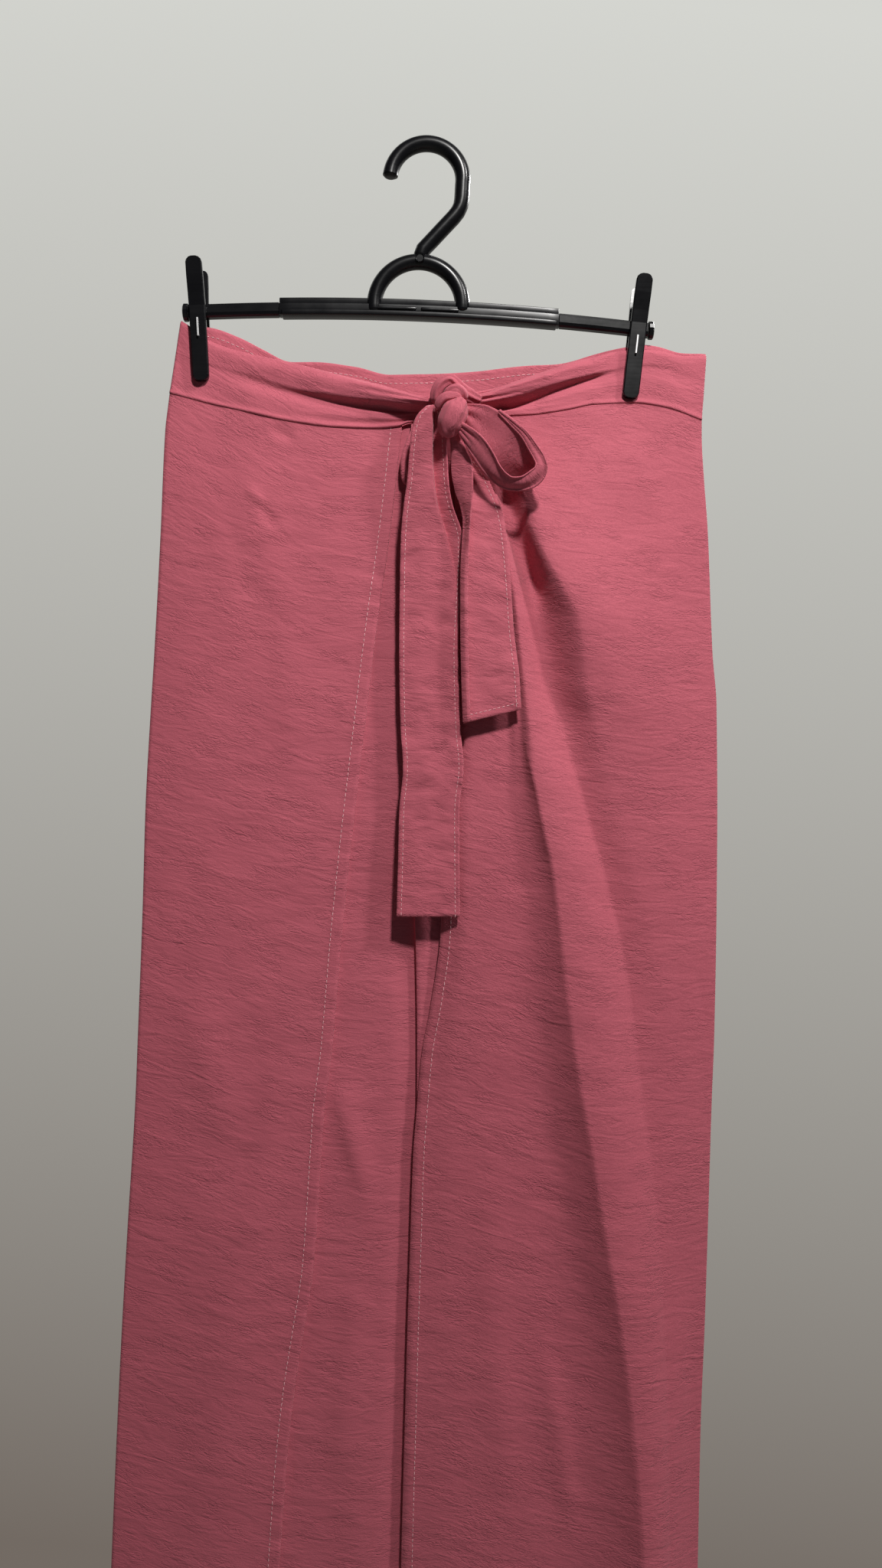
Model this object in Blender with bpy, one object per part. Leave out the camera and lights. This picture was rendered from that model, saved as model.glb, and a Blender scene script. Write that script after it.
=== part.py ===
"""Wrap trousers, clipped by the waistband to an adjustable clip hanger.

Every table below is in millimetres and uses three measures:
x, to the right as the front is seen; down, below the point where the hook rests;
out, forward of the hanger bar's middle plane. Cloth walls are modelled on their
outer face and thickened inwards.
"""

import math
from bisect import bisect_right
from collections import namedtuple

import bmesh
import bpy
from mathutils import Vector

MM = 0.001
CLOTH = 1.0            # wall of one layer of crepe
BAND_CLOTH = 1.6       # the waistband is two layers
SEAM_GAP = 0.35        # clear space between two pieces that are sewn together
UNDER_DROP = 0.8       # the under fronts start this much below the waist seam
LAYER_STEP = 1.5       # from the under front's face to the wrap panel's face
HEM = 1150.0           # the hems hang this far below the hook's rest point
SIDE_OUT = 1.0         # the under front's face at the side seam
BACK_SIDE_OUT = -1.5   # the back's face at the side seam
SEAM_LEVEL = 172.0     # mean level of the waist seam
SEAM_REACH = 110.0     # below the seam by this much, rows run level
CROTCH = 467.0

# sides of the trousers
Side = namedtuple("Side", "down left right")
SIDES = [
    Side(109, -157, 178), Side(127, -162, 178), Side(154, -164, 175.5), Side(180, -167, 175),
    Side(246, -170, 179), Side(322, -174, 182), Side(354, -176, 184.5), Side(418, -179.5, 185),
    Side(487, -181.5, 184.5), Side(567, -184.5, 183), Side(606, -186, 181.5), Side(688, -191, 179),
    Side(750, -194.5, 177), Side(812, -197.5, 174.5), Side(907, -201.5, 172.5), Side(1150, -210, 167),
]

# centre seam above the crotch, inner leg below it
Inner = namedtuple("Inner", "down left right")
INNERS = [
    Inner(150, -8.5, -8.1), Inner(467, -8.5, -8.1), Inner(484, -8.0, -7.8), Inner(500, -7.5, -7.3),
    Inner(567, -3.0, -6.3), Inner(607, -2.8, -6.4), Inner(640, -5.0, -8.7), Inner(712, -7.6, -11.3),
    Inner(907, -12.8, -16.6), Inner(1150, -17.2, -21.0),
]
TUCK = 4.3             # the left leg's inner edge lies this far back, behind the right leg
TUCK_WIDTH = 20.0

# free front edge of each wrap panel
Free = namedtuple("Free", "down left right")
FREES = [
    Free(172, -15.5, 20), Free(247, -24, 17), Free(304, -32, 15.5), Free(391, -42.5, 13),
    Free(418, -45.7, 11.7), Free(501, -54.5, 8.5), Free(548, -58.5, 2), Free(576, -61, -3.2),
    Free(613, -65.7, -6.6), Free(640, -67.5, -8.7), Free(712, -72.5, -11.1), Free(748, -78, -12.3),
    Free(790, -84.5, -13.4), Free(836, -89.5, -14.7), Free(905, -94.4, -16.5), Free(1150, -114, -20.9),
]

# waist seam across the front, and top edge of the band across the back
Seam = namedtuple("Seam", "x down")
FRONT_SEAM = [
    Seam(-164, 155), Seam(-130, 164), Seam(-85, 174.5), Seam(-57, 178), Seam(-34, 178.6),
    Seam(-18, 177.6), Seam(-12, 175.5), Seam(20, 172), Seam(67, 170), Seam(88, 167),
    Seam(106.5, 163), Seam(131, 161.3), Seam(150, 164), Seam(175, 172),
]
BACK_TOP = [
    Seam(-157, 109), Seam(-152, 112.2), Seam(-141, 112.8), Seam(-120, 119), Seam(-107, 125),
    Seam(-88, 132.8), Seam(-75, 133), Seam(-46, 136), Seam(-24, 141), Seam(1, 140.5), Seam(32, 139),
    Seam(64, 135.5), Seam(81, 134.7), Seam(108, 128.5), Seam(126, 125.2), Seam(140, 123.5),
    Seam(148, 124.5), Seam(164, 129), Seam(178, 130),
]
BACK_SEAM = [
    Seam(-164, 155), Seam(-120, 166), Seam(-75, 177.5), Seam(-24, 185.5), Seam(5, 186), Seam(64, 181),
    Seam(108, 174), Seam(140, 170.5), Seam(175, 172),
]

# how far front and back stand off the side seams' plane
Fullness = namedtuple("Fullness", "down front back opening")
FULLNESS = [
    Fullness(110, 3.6, 5.5, 1), Fullness(172, 4.1, 6, 1), Fullness(300, 4.5, 9, 1),
    Fullness(445, 4.2, 10, 1), Fullness(492, 4, 10, 0), Fullness(600, 3.4, 10.5, 0),
    Fullness(907, 3, 11, 0), Fullness(1150, 4, 12, 0),
]

# the right wrap panel's folds, as heights over the under front: a low flat by the free edge,
# a rise over some run to a crest, a fall to a valley, a rise to a broad brow, and a shelf by
# the side; climb is how much the rise steepens towards the crest
Fold = namedtuple("Fold", "down flat run climb crest_x crest valley_x valley brow_x brow shelf_x shelf")
FOLDS = [
    Fold(160, 0, 8, 2, 36, 0, 44, 0, 58, 0, 100, 0), Fold(180, 0.6, 8, 2, 38, 0.6, 45, 0.2, 60, 0.8, 104, 0.6),
    Fold(205, 2.5, 8, 2, 41, 3, 45.5, 0.6, 60, 4.5, 112, 3), Fold(237, 5, 8, 2, 45.5, 6.5, 49, 1, 64, 10.5, 122, 5),
    Fold(259, 6, 8, 2, 49, 9.5, 57, 1, 73, 14, 134, 6), Fold(281, 6, 8, 2, 52, 11, 65, 1, 85, 16.5, 142, 6),
    Fold(303, 6, 8, 2, 53.8, 12, 71.5, 1.2, 96, 17, 148, 6), Fold(325, 6, 8, 2, 55.8, 12.8, 75.5, 1.6, 99, 15.5, 150, 6),
    Fold(346, 6, 8, 2.2, 57.6, 13.4, 79, 2.4, 101, 13, 150, 6), Fold(368, 6, 9, 2.6, 59.6, 14, 86.5, 3.2, 108, 9.5, 150, 5.6),
    Fold(390, 6, 12, 3, 63.4, 14.4, 91, 3.4, 112, 7, 150, 5), Fold(412, 6, 18, 3.4, 68.3, 15, 97.5, 3.4, 118, 5.6, 152, 4.4),
    Fold(434, 6, 22, 3.6, 72.5, 15.4, 103.5, 3, 124, 5, 154, 4), Fold(455, 6, 26, 3.6, 77.3, 15.8, 110, 2.6, 130, 4.8, 156, 3.6),
    Fold(477, 6, 30, 3.2, 80.4, 16, 115.5, 2.6, 136, 4.6, 158, 3.4), Fold(499, 5.6, 33, 2.8, 83, 16, 121, 3, 140, 4.4, 160, 3.2),
    Fold(521, 5, 36, 2.4, 85.2, 16, 125, 3.4, 143, 4.2, 161, 3), Fold(545, 4.4, 38, 2.2, 88.2, 15.8, 129, 4, 146, 4, 162, 3),
    Fold(589, 3.4, 42, 2, 94.5, 15.6, 134, 4.6, 151, 4, 164, 2.8), Fold(631, 2.6, 44, 1.8, 102, 15.4, 140, 5.4, 156, 4, 166, 2.6),
    Fold(686, 2, 46, 1.6, 111, 15.4, 146, 6.4, 158, 4, 167, 2.4), Fold(755, 1.6, 50, 1.4, 122.5, 15.6, 150, 7.6, 160, 4.6, 167.5, 2.2),
    Fold(810, 1.4, 54, 1.4, 129, 15.8, 152, 8.4, 161, 5, 167.5, 2), Fold(904, 1.2, 56, 1.4, 135.5, 15.6, 153, 9, 161, 5, 167, 2),
    Fold(1150, 1, 56, 1.4, 134, 15, 150, 8, 158, 4, 162.5, 1.6),
]

# soft folds that run down the left panel, the left under front and the backs
Soft = namedtuple("Soft", "face top_x top bottom_x bottom height width")
SOFTS = [
    Soft("left wrap", -118, 185, -98, 300, 1.6, 16),
    Soft("left wrap", -150, 520, -128, 640, 1.8, 14),
    Soft("left wrap", -120, 640, -140, 1150, 2.2, 26),
    Soft("left front", -52, 575, -34, 710, 2.2, 10),
    Soft("left front", -40, 720, -46, 1150, 1.8, 16),
    Soft("left back", -120, 210, -150, 1150, 3.2, 22),
    Soft("left back", -60, 260, -70, 1150, 4.2, 26),
    Soft("right back", 60, 230, 50, 1150, 4.6, 24),
    Soft("right back", 130, 210, 118, 1150, 3.0, 22),
]
SOFT_ENDS = 60.0       # a soft fold fades in and out over this length

# the front bands: each section runs from the top edge down to the waist seam
BandCut = namedtuple("BandCut", "seam_x x top low valley out_top out_mid out_low out_valley out_lower")
LEFT_BAND = [
    BandCut(-164, -157, 109, 130, 133, 2.2, 2.3, 2.3, 2.2, 2.3),
    BandCut(-156, -151, 113, 132, 135, 2.5, 2.7, 2.7, 2.5, 2.7),
    BandCut(-141, -140, 121.5, 136, 138.5, 2.7, 3.1, 3.0, 2.6, 3.0),
    BandCut(-119, -119, 129, 142, 145, 3.4, 4.6, 4.0, 3.2, 4.2),
    BandCut(-85, -85, 137, 153, 156, 5, 7.4, 6.4, 4.2, 6.2),
    BandCut(-62, -62, 143.5, 158, 161, 7, 10.2, 9, 5, 7.2),
    BandCut(-45, -45, 148.5, 161, 164, 9, 12.4, 11, 5.5, 7.4),
    BandCut(-29, -29, 153, 163.5, 166.5, 11, 14.4, 13, 6, 7.4),
    BandCut(-12, -12, 159, 166.5, 169.5, 14, 17, 15.8, 6.4, 7.2),
    BandCut(-4, -4, 161.8, 167.4, 170, 15.8, 18.4, 17.2, 7, 7),
    BandCut(4, 4, 164.6, 168.8, 171, 18, 20, 19, 8, 7),
]
RIGHT_BAND = [
    BandCut(25, 25, 161.4, 167.6, 169.4, 18, 20, 19, 8, 7),
    BandCut(35, 35, 159, 166.4, 168.6, 15, 18, 17, 6.4, 7),
    BandCut(49, 49, 153.4, 161.8, 166.6, 12, 15.6, 14.6, 5.4, 7),
    BandCut(63, 63, 147.7, 157.2, 162.6, 10, 13.6, 12.6, 4.6, 7),
    BandCut(80, 80, 141.4, 152, 155.6, 8, 11.2, 10.4, 4.2, 6.4),
    BandCut(93, 93, 136.6, 148, 150.8, 6.4, 9.4, 8.8, 3.6, 5.8),
    BandCut(107, 107, 132.8, 143.8, 146, 4.8, 6.6, 6.2, 3, 4.8),
    BandCut(122, 122, 128.6, 139.6, 141.6, 2.9, 3.1, 3.1, 2.3, 2.9),
    BandCut(140, 140, 127.6, 137, 139, 2.7, 3.1, 3.1, 2.5, 2.9),
    BandCut(150.5, 150.5, 128.6, 138, 140, 2.7, 3.4, 3.4, 3, 3.2),
    BandCut(162, 163, 131.5, 142, 144, 2.6, 3.2, 3.2, 3, 3.0),
    BandCut(175, 178, 131, 145, 148, 2.2, 2.3, 2.3, 2.2, 2.3),
]

# strips of the bow: a near and a far edge for each station along the strip
Rail = namedtuple("Rail", "near_x near_down near_out far_x far_down far_out")
LOOP_BACK = [
    Rail(23.4, 171.9, 27, 22.4, 181.2, 25.5), Rail(30.3, 172.5, 29, 25.5, 188.4, 25),
    Rail(37, 173.9, 30, 28.6, 195, 24.5), Rail(43.6, 177, 31.5, 32.1, 201.1, 24),
    Rail(49.3, 181.9, 33, 36, 206.7, 23.6), Rail(54.8, 187.6, 34, 40.1, 211.3, 21),
    Rail(59.4, 193.2, 34, 44.9, 213.8, 18), Rail(63.5, 198.7, 34, 50, 214.3, 16),
    Rail(67, 203.5, 33.5, 55, 213.7, 15.5), Rail(70, 207.8, 32.5, 60.6, 212.4, 16),
    Rail(72.1, 212.2, 31, 64.6, 210.9, 18),
]
LOOP_FRONT = [
    Rail(72.3, 214, 32, 67.2, 208.8, 32.6), Rail(71.4, 216.9, 31, 66.6, 208.8, 32.6),
    Rail(69.1, 219.3, 29.8, 65.8, 209.4, 32.6), Rail(64.6, 221.5, 28.6, 63.8, 211.2, 32.6),
    Rail(59.2, 222.8, 27.8, 60.6, 213.8, 32.8), Rail(53.6, 223, 27.5, 56.4, 216.1, 33.2),
    Rail(47.5, 222.1, 28, 51.4, 217.6, 34.6), Rail(41.9, 219.4, 28.5, 47.6, 214.8, 36),
    Rail(37, 215.1, 29, 44, 210.1, 36.5), Rail(32.7, 209.5, 29, 40.1, 204.5, 36),
    Rail(28.5, 202.9, 29, 35.6, 198.8, 35), Rail(24.2, 195.4, 28.5, 30.5, 193.4, 34),
    Rail(20.5, 189.1, 28, 25.7, 188.6, 32.5), Rail(17.5, 184.5, 27.5, 20.8, 184.7, 31),
]
SIDE_LOOP = [
    Rail(-9.8, 175.8, 7, -5.2, 175.1, 7), Rail(-9.8, 180.2, 9.4, -4.8, 181, 9.4), Rail(-12.6, 188, 11, -7, 189.2, 11), Rail(-15.6, 197, 11.4, -10, 197.4, 11.4),
    Rail(-17, 205, 11, -12.4, 205.4, 12.4), Rail(-16.6, 212, 10.2, -12, 210, 12.4), Rail(-13.4, 216.4, 9.4, -10, 212.4, 12),
    Rail(-8.6, 216.8, 9.2, -7.4, 212.6, 12),
]

# tails: the section runs left edge, front of the pleat, back of the pleat, right edge
Tail = namedtuple("Tail", "down left out_left front out_front back out_back right out_right")
LONG_TAIL = [
    Tail(171, 0, 25, 4, 26, 5.5, 24, 7.5, 25), Tail(176.5, -5.6, 25, 3, 26, 5, 21, 9.4, 24),
    Tail(184, -8.7, 24.5, 3.6, 25.5, 4.4, 18, 10.8, 23), Tail(200, -10.6, 23, 3.4, 24, 4, 16, 12.2, 21),
    Tail(217, -12.1, 21, 4, 22, 5, 15, 13.2, 19), Tail(230, -14.1, 19, 5.6, 20, 7.2, 14.5, 15.4, 18),
    Tail(252, -16.1, 16, 11.6, 17, 13.4, 14, 22, 17), Tail(277, -16.7, 14.5, 16, 15.2, 18, 14.6, 21.6, 16),
    Tail(323, -17.2, 13, 8, 14.6, 12, 15, 19.4, 15.4), Tail(369, -16.4, 13, 8, 14.6, 12, 15, 20.6, 15.6),
    Tail(394, -14.8, 14, 8, 15.6, 12, 15.8, 22.6, 16), Tail(422, -17.2, 13, 8, 14.8, 12, 15, 19.9, 15.4),
    Tail(455, -18, 13, 8, 14.4, 12, 14.6, 20, 15), Tail(488, -18.9, 13.4, 8, 14.2, 12, 14.2, 20.3, 14.6),
]
SHORT_TAIL = [
    Tail(183.5, 17.5, 22.8, 13.8, 22.2, 12.4, 21, 19.4, 19.2),
    Tail(191, 20.6, 22.4, 17, 21.6, 15.2, 20.4, 22, 18.6), Tail(197, 24, 22, 17.5, 21.6, 15.6, 20, 25.6, 18.2),
    Tail(209, 28.4, 22.2, 17.6, 21.6, 15.8, 19.4, 35.2, 17.6), Tail(222, 28.6, 22.4, 19.6, 21.8, 17.9, 19.4, 41.4, 18.4),
    Tail(231, 28, 22.8, 22.6, 22.4, 21, 20, 45, 19.6), Tail(242, 27.2, 23.2, 24.4, 22.8, 22.8, 20.8, 47.8, 20.6),
    Tail(254, 26.4, 23.2, 23.8, 22.8, 22.3, 21, 49.4, 21), Tail(278, 25.2, 22.9, 22.8, 22.4, 21.4, 20.9, 51.6, 21.4),
    Tail(306, 25.2, 22.9, 22.8, 22.4, 21.4, 20.8, 53.5, 21.6), Tail(342, 25.9, 23.1, 23.5, 22.6, 22.1, 21, 57, 22),
    Tail(366, 26.8, 23.3, 24.4, 22.8, 23, 21.2, 58.3, 22),
]
SHORT_TAIL_SLANT = -7.5   # the short tail's end rises to the right by this much

# lobes of the knot: bent rolls given by centre points and two radii, side to side and in depth
Lobe = namedtuple("Lobe", "x down out across deep")
KNOT_OVER = [
    Lobe(5.5, 169, 21, 3.6, 4), Lobe(6.4, 163, 23, 4.2, 4.6), Lobe(9.6, 158, 24.5, 4.4, 4.8),
    Lobe(14.2, 156, 25, 4.2, 4.8), Lobe(18.4, 158.6, 24, 4.3, 4.6), Lobe(22, 162, 22.6, 4.9, 4.6),
    Lobe(26.5, 164.2, 21.6, 4.6, 4.4), Lobe(31, 165.8, 20.6, 3.6, 3.8), Lobe(34, 166.6, 20, 2.9, 3.2),
]
KNOT_ROLL = [
    Lobe(12.4, 166.4, 27, 2.2, 2.6), Lobe(14.6, 163.4, 28.4, 2.9, 3.2), Lobe(18, 163.2, 28.6, 3.0, 3.2),
    Lobe(20.8, 166, 27.4, 2.6, 2.8), Lobe(21.6, 169, 26, 2.0, 2.2),
]
KNOT_STRAP = [
    Lobe(8.2, 175, 27.5, 1.8, 2.6), Lobe(9.6, 170.6, 29.4, 2.2, 2.8), Lobe(13.4, 167.8, 30.4, 2.3, 2.8),
    Lobe(17.6, 167.6, 30.4, 2.1, 2.6), Lobe(21, 169.4, 29, 1.7, 2.2),
]
KNOT_FRONT = [
    Lobe(20.4, 171.4, 28.5, 3.4, 4.6), Lobe(18.6, 174, 29, 6.0, 6.6), Lobe(16, 177.4, 28.4, 7.6, 7.6),
    Lobe(14.6, 181.4, 27, 6.6, 6.8), Lobe(14, 185, 25.4, 4.2, 5),
]
KNOT_LOBES = (KNOT_OVER, KNOT_ROLL, KNOT_STRAP, KNOT_FRONT)
KNOT_VOXEL = 2.0
KNOT_CLEAR = 0.45

# hanger
ROD = 4.9              # radius of the hook and of the arch
HOOK_RADIUS = 23.3     # centre line of the hook's round
HOOK_X = -0.5
HOOK_STEM = [(22.2, 26), (21.3, 31.5), (19.8, 36.5), (17.2, 41.4), (13.6, 46.4), (8.6, 52), (2.6, 58.2), (-2.4, 64.4),
             (-4.6, 69.4)]
ARCH_X = -5.7
ARCH_DOWN = 99.0
ARCH_LEGS = 3.0
ARCH_RADIUS = 28.2
BAR_MIDDLE_X = -5.4
BAR_DOWN = 109.3
BAR_SLOPE = 0.0395
BAR_BOW = 6.4
BAR_HALF = 149.0
SLEEVE_ENDS = (-94.4, 84.0)
ARM_ENDS = (-152.2, 140.8)
KNOB_WIDTH = 3.4
KNOB_RADIUS = 5.6
SLEEVE_PROFILE = [(2.2, 7.4), (2.2, 3.2), (3.6, 2.8), (3.6, -0.8), (4.9, -1.4), (4.9, -3.6), (3.9, -4.4)]
ARM_PROFILE = [(1.8, 4.35), (3.3, 3.6), (3.9, 1.9), (3.9, -1.9), (3.3, -3.6), (1.8, -4.35)]

# clips: the jaw's centre line on the front, by share of its length, and its ends
Clip = namedtuple("Clip", "name top_x top bottom_x bottom")
CLIPS = [
    Clip("left", -147.6, 72.2, -143.6, 148.6),
    Clip("right", 137.7, 83.3, 129.1, 159.7),
]
JAW_HALF_WIDTH = 5.2
JAW_THICK = 3.0
JawBend = namedtuple("JawBend", "share out")
JAW_BENDS = [JawBend(0, 10.6), JawBend(0.24, 7.8), JawBend(0.34, 5.9), JawBend(0.46, 5.72), JawBend(0.62, 5.45), JawBend(1, 5.1)]
SPRING_SHARES = (0.49, 0.64)
SPRING_RADIUS = 0.65
PINCH_WIDTH = 24.0
PINCH_BELOW = 40.0

Paint = namedtuple("Paint", "colour roughness metallic")
PAINTS = {
    "rose crepe": Paint((0.52, 0.13, 0.16, 1), 0.85, 0),
    "black plastic": Paint((0.012, 0.012, 0.015, 1), 0.35, 0),
    "spring steel": Paint((0.75, 0.75, 0.76, 1), 0.3, 1),
}


def place(x, down, out):
    """Point in metres for one place on the garment, given in millimetres."""
    return Vector((x, -out, -down)) * MM


def smooth_value(keys, values, at):
    """Value on a smooth curve through keyed values, which never overshoots them."""
    if at <= keys[0]:
        return values[0]
    if at >= keys[-1]:
        return values[-1]
    slopes = [(values[i + 1] - values[i]) / (keys[i + 1] - keys[i]) for i in range(len(keys) - 1)]

    def slope(i):
        if i == 0 or i == len(keys) - 1:
            return slopes[min(i, len(slopes) - 1)]
        before, after = slopes[i - 1], slopes[i]
        return 0.0 if before * after <= 0 else 2 * before * after / (before + after)

    i = bisect_right(keys, at) - 1
    span = keys[i + 1] - keys[i]
    t = (at - keys[i]) / span
    start = (1 + 2 * t) * (1 - t) ** 2 * values[i] + t * (1 - t) ** 2 * span * slope(i)
    end = t * t * (3 - 2 * t) * values[i + 1] + t * t * (t - 1) * span * slope(i + 1)
    return start + end


def column(rows, name, at):
    """One named column of a table, read smoothly at a place on its first column."""
    return smooth_value([row[0] for row in rows], [getattr(row, name) for row in rows], at)


def ease(t):
    """Smooth step from 0 to 1."""
    t = min(max(t, 0.0), 1.0)
    return t * t * (3 - 2 * t)


def lens(u, opening):
    """Round of a leg from the side seam at 0 to the inner leg or open centre seam at 1."""
    u = min(max(u, 0.0), 1.0)
    rim = 1 - abs(2 * u - 1) ** 2.5
    return rim if u < 0.5 else rim + (1 - rim) * opening


def pinch(x, down):
    """Share of its fullness that cloth keeps near the clips."""
    kept = 1.0
    for clip in CLIPS:
        below = max(0.0, down - clip.bottom - 6) / PINCH_BELOW
        kept -= 0.88 * math.exp(-((x - clip.bottom_x) / PINCH_WIDTH) ** 2 - below)
    return kept


def leg_of(x, down):
    """Which leg a place belongs to."""
    return "left" if x < column(INNERS, "left", down) + 0.2 else "right"


def soft_height(face, x, down):
    """Height of the soft folds that are named for one face."""
    total = 0.0
    for fold in SOFTS:
        if fold.face != face:
            continue
        share = (down - fold.top) / (fold.bottom - fold.top)
        line = fold.top_x + (fold.bottom_x - fold.top_x) * share
        fade = ease((down - fold.top) / SOFT_ENDS)
        if fold.bottom < HEM:
            fade *= ease((fold.bottom - down) / SOFT_ENDS)
        total += fold.height * fade * math.exp(-((x - line) / fold.width) ** 2)
    return total


def tuck(leg, x, down):
    """How far the left leg's inner edge lies back, behind the right leg."""
    if leg == "right":
        return 0.0
    near = 1 - (column(INNERS, "left", down) - x) / TUCK_WIDTH
    return TUCK * ease(near) * ease((down - 430) / 60)


def leg_share(leg, x, down):
    """Place across a leg, 0 at the side seam and 1 at the inner leg."""
    side = column(SIDES, leg, down)
    return (x - side) / (column(INNERS, leg, down) - side)


def under_out(leg, x, down):
    """Face of the under front."""
    u = leg_share(leg, x, down)
    full = column(FULLNESS, "front", down) * lens(u, column(FULLNESS, "opening", down))
    full = full * pinch(x, down) + soft_height(leg + " front", x, down) * lens(u, 0)
    return SIDE_OUT + full - tuck(leg, x, down)


def back_out(leg, x, down):
    """Face of the back, behind the side seams' plane."""
    u = leg_share(leg, x, down)
    full = column(FULLNESS, "back", down) * lens(u, column(FULLNESS, "opening", down))
    full = full * pinch(x, down) + soft_height(leg + " back", x, down) * lens(u, 0)
    return BACK_SIDE_OUT - full - tuck(leg, x, down)


def right_fold(x, down):
    """Height of the right wrap panel's folds over the under front."""
    free, side = column(FREES, "right", down), column(SIDES, "right", down)
    flat, crest_x, crest = [column(FOLDS, name, down) for name in ("flat", "crest_x", "crest")]
    valley_x, valley, run = [column(FOLDS, name, down) for name in ("valley_x", "valley", "run")]
    foot_x = crest_x - run
    keys = [free, free + 0.4 * (foot_x - free), foot_x, crest_x]
    keys += [valley_x] + [column(FOLDS, name + "_x", down) for name in ("brow", "shelf")] + [side]
    heights = [0.0, flat, flat, crest, valley] + [column(FOLDS, name, down) for name in ("brow", "shelf")] + [0.0]
    soft = smooth_value(keys, heights, x)
    if x <= foot_x or x >= valley_x:
        return soft
    if x < crest_x:
        sharp = flat + (crest - flat) * ((x - foot_x) / run) ** column(FOLDS, "climb", down)
    else:
        sharp = crest - (crest - valley) * ((x - crest_x) / (valley_x - crest_x)) ** 2.3
    return soft + (sharp - soft) * ease((down - 360) / 50)


def wrap_out(leg, x, down):
    """Face of a wrap panel, which lies on the under front."""
    height = right_fold(x, down) if leg == "right" else soft_height("left wrap", x, down)
    return under_out(leg, x, down) + LAYER_STEP + height


def seam_shift(x, down, top):
    """Moves a level row near the waist so that the first row follows the waist seam."""
    return (top(x) - SEAM_LEVEL) * ease(1 - (down - SEAM_LEVEL) / SEAM_REACH)


def panel_points(rows, columns, top, out):
    """Grid of a panel's face. columns gives a row's x places, left to right."""
    grid = []
    for level in rows:
        line = []
        for i in range(len(columns(level))):
            down = level
            for _ in range(3):
                x = columns(down)[i]
                down = level + seam_shift(x, level, top)
            line.append(place(x, down, out(x, down)))
        grid.append(line)
    return grid


def front_top(x):
    return column(FRONT_SEAM, "down", x) + SEAM_GAP


def under_top(x):
    return front_top(x) + UNDER_DROP


def back_top(x):
    return column(BACK_SEAM, "down", x) + SEAM_GAP


def spread(start, end, shares):
    return [start + (end - start) * share for share in shares]


def material(name):
    if name in bpy.data.materials:
        return bpy.data.materials[name]
    paint = PAINTS[name]
    made = bpy.data.materials.new(name)
    made.use_nodes = True
    shader = made.node_tree.nodes["Principled BSDF"]
    shader.inputs["Base Color"].default_value = paint.colour
    shader.inputs["Roughness"].default_value = paint.roughness
    shader.inputs["Metallic"].default_value = paint.metallic
    made.diffuse_color = paint.colour
    return made


def add_object(name, mesh, paint):
    made = bpy.data.objects.new(name, mesh)
    bpy.context.scene.collection.objects.link(made)
    mesh.materials.append(material(paint))
    mesh.shade_smooth()
    mesh.set_sharp_from_angle(angle=math.radians(50))
    return made


def sheet(name, grid, wall, backwards=False):
    """A cloth wall on a grid of points, thickened away from the face that shows."""
    width = len(grid[0])
    faces = []
    for r in range(len(grid) - 1):
        for c in range(width - 1):
            a = r * width + c
            face = (a, a + width, a + width + 1, a + 1)
            faces.append(face[::-1] if backwards else face)
    mesh = bpy.data.meshes.new(name)
    mesh.from_pydata([point for line in grid for point in line], [], faces)
    made = add_object(name, mesh, "rose crepe")
    solid = made.modifiers.new("wall", "SOLIDIFY")
    solid.thickness = wall * MM
    solid.offset = -1
    return made


def loft(name, rings, paint):
    """A closed solid through rings of points, with flat ends."""
    count = len(rings[0])
    faces = [tuple(range(count))[::-1]]
    for r in range(len(rings) - 1):
        for c in range(count):
            a, b = r * count + c, r * count + (c + 1) % count
            faces.append((a, b, b + count, a + count))
    last = (len(rings) - 1) * count
    faces.append(tuple(range(last, last + count)))
    mesh = bpy.data.meshes.new(name)
    mesh.from_pydata([point for ring in rings for point in ring], [], faces)
    shape = bmesh.new()
    shape.from_mesh(mesh)
    bmesh.ops.recalc_face_normals(shape, faces=shape.faces)
    shape.to_mesh(mesh)
    shape.free()
    return add_object(name, mesh, paint)


def helper(made):
    """Marks a cutter or a guide, which is no piece of its own."""
    made.hide_render = True
    made.display_type = "WIRE"
    return made


def boolean(made, operation, other):
    cut = made.modifiers.new(operation.lower(), "BOOLEAN")
    cut.operation = operation
    cut.solver = "EXACT"
    cut.object = other


# levels of the leg panels' rows
LEG_ROWS = [172, 183, 196, 209, 222, 238, 254, 270, 291, 311, 328, 345, 382, 418, 452, 474, 495,
            520, 546, 589, 631, 686, 755, 810, 858, 906, 985, 1066, 1150]
PLAIN_ROWS = [172, 190, 215, 245, 280, 318, 360, 405, 450, 475, 500, 560, 630, 710, 800, 906, 1020, 1150]
SIDE_SHARES = (0, 0.02, 0.08, 0.19, 0.27, 0.37, 0.5, 0.63, 0.76, 0.885, 0.94, 0.98, 1)


def back_columns(leg):
    """Columns of a leg's back and under front, left to right."""
    def columns(down):
        places = spread(column(SIDES, leg, down), column(INNERS, leg, down), SIDE_SHARES)
        return places if leg == "left" else places[::-1]
    return columns


def make_legs():
    for leg in ("left", "right"):
        for layer, top, out in (("front", under_top, under_out), ("back", back_top, back_out)):
            def face(x, down, leg=leg, out=out):
                return out(leg, x, down)

            grid = panel_points(PLAIN_ROWS, back_columns(leg), top, face)
            sheet(leg + "_leg_" + layer, grid, CLOTH, backwards=layer == "back")


def left_wrap_columns(down):
    return spread(column(SIDES, "left", down), column(FREES, "left", down),
                  (0, 0.02, 0.08, 0.19, 0.3, 0.41, 0.52, 0.63, 0.74, 0.85, 0.94, 1))


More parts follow.
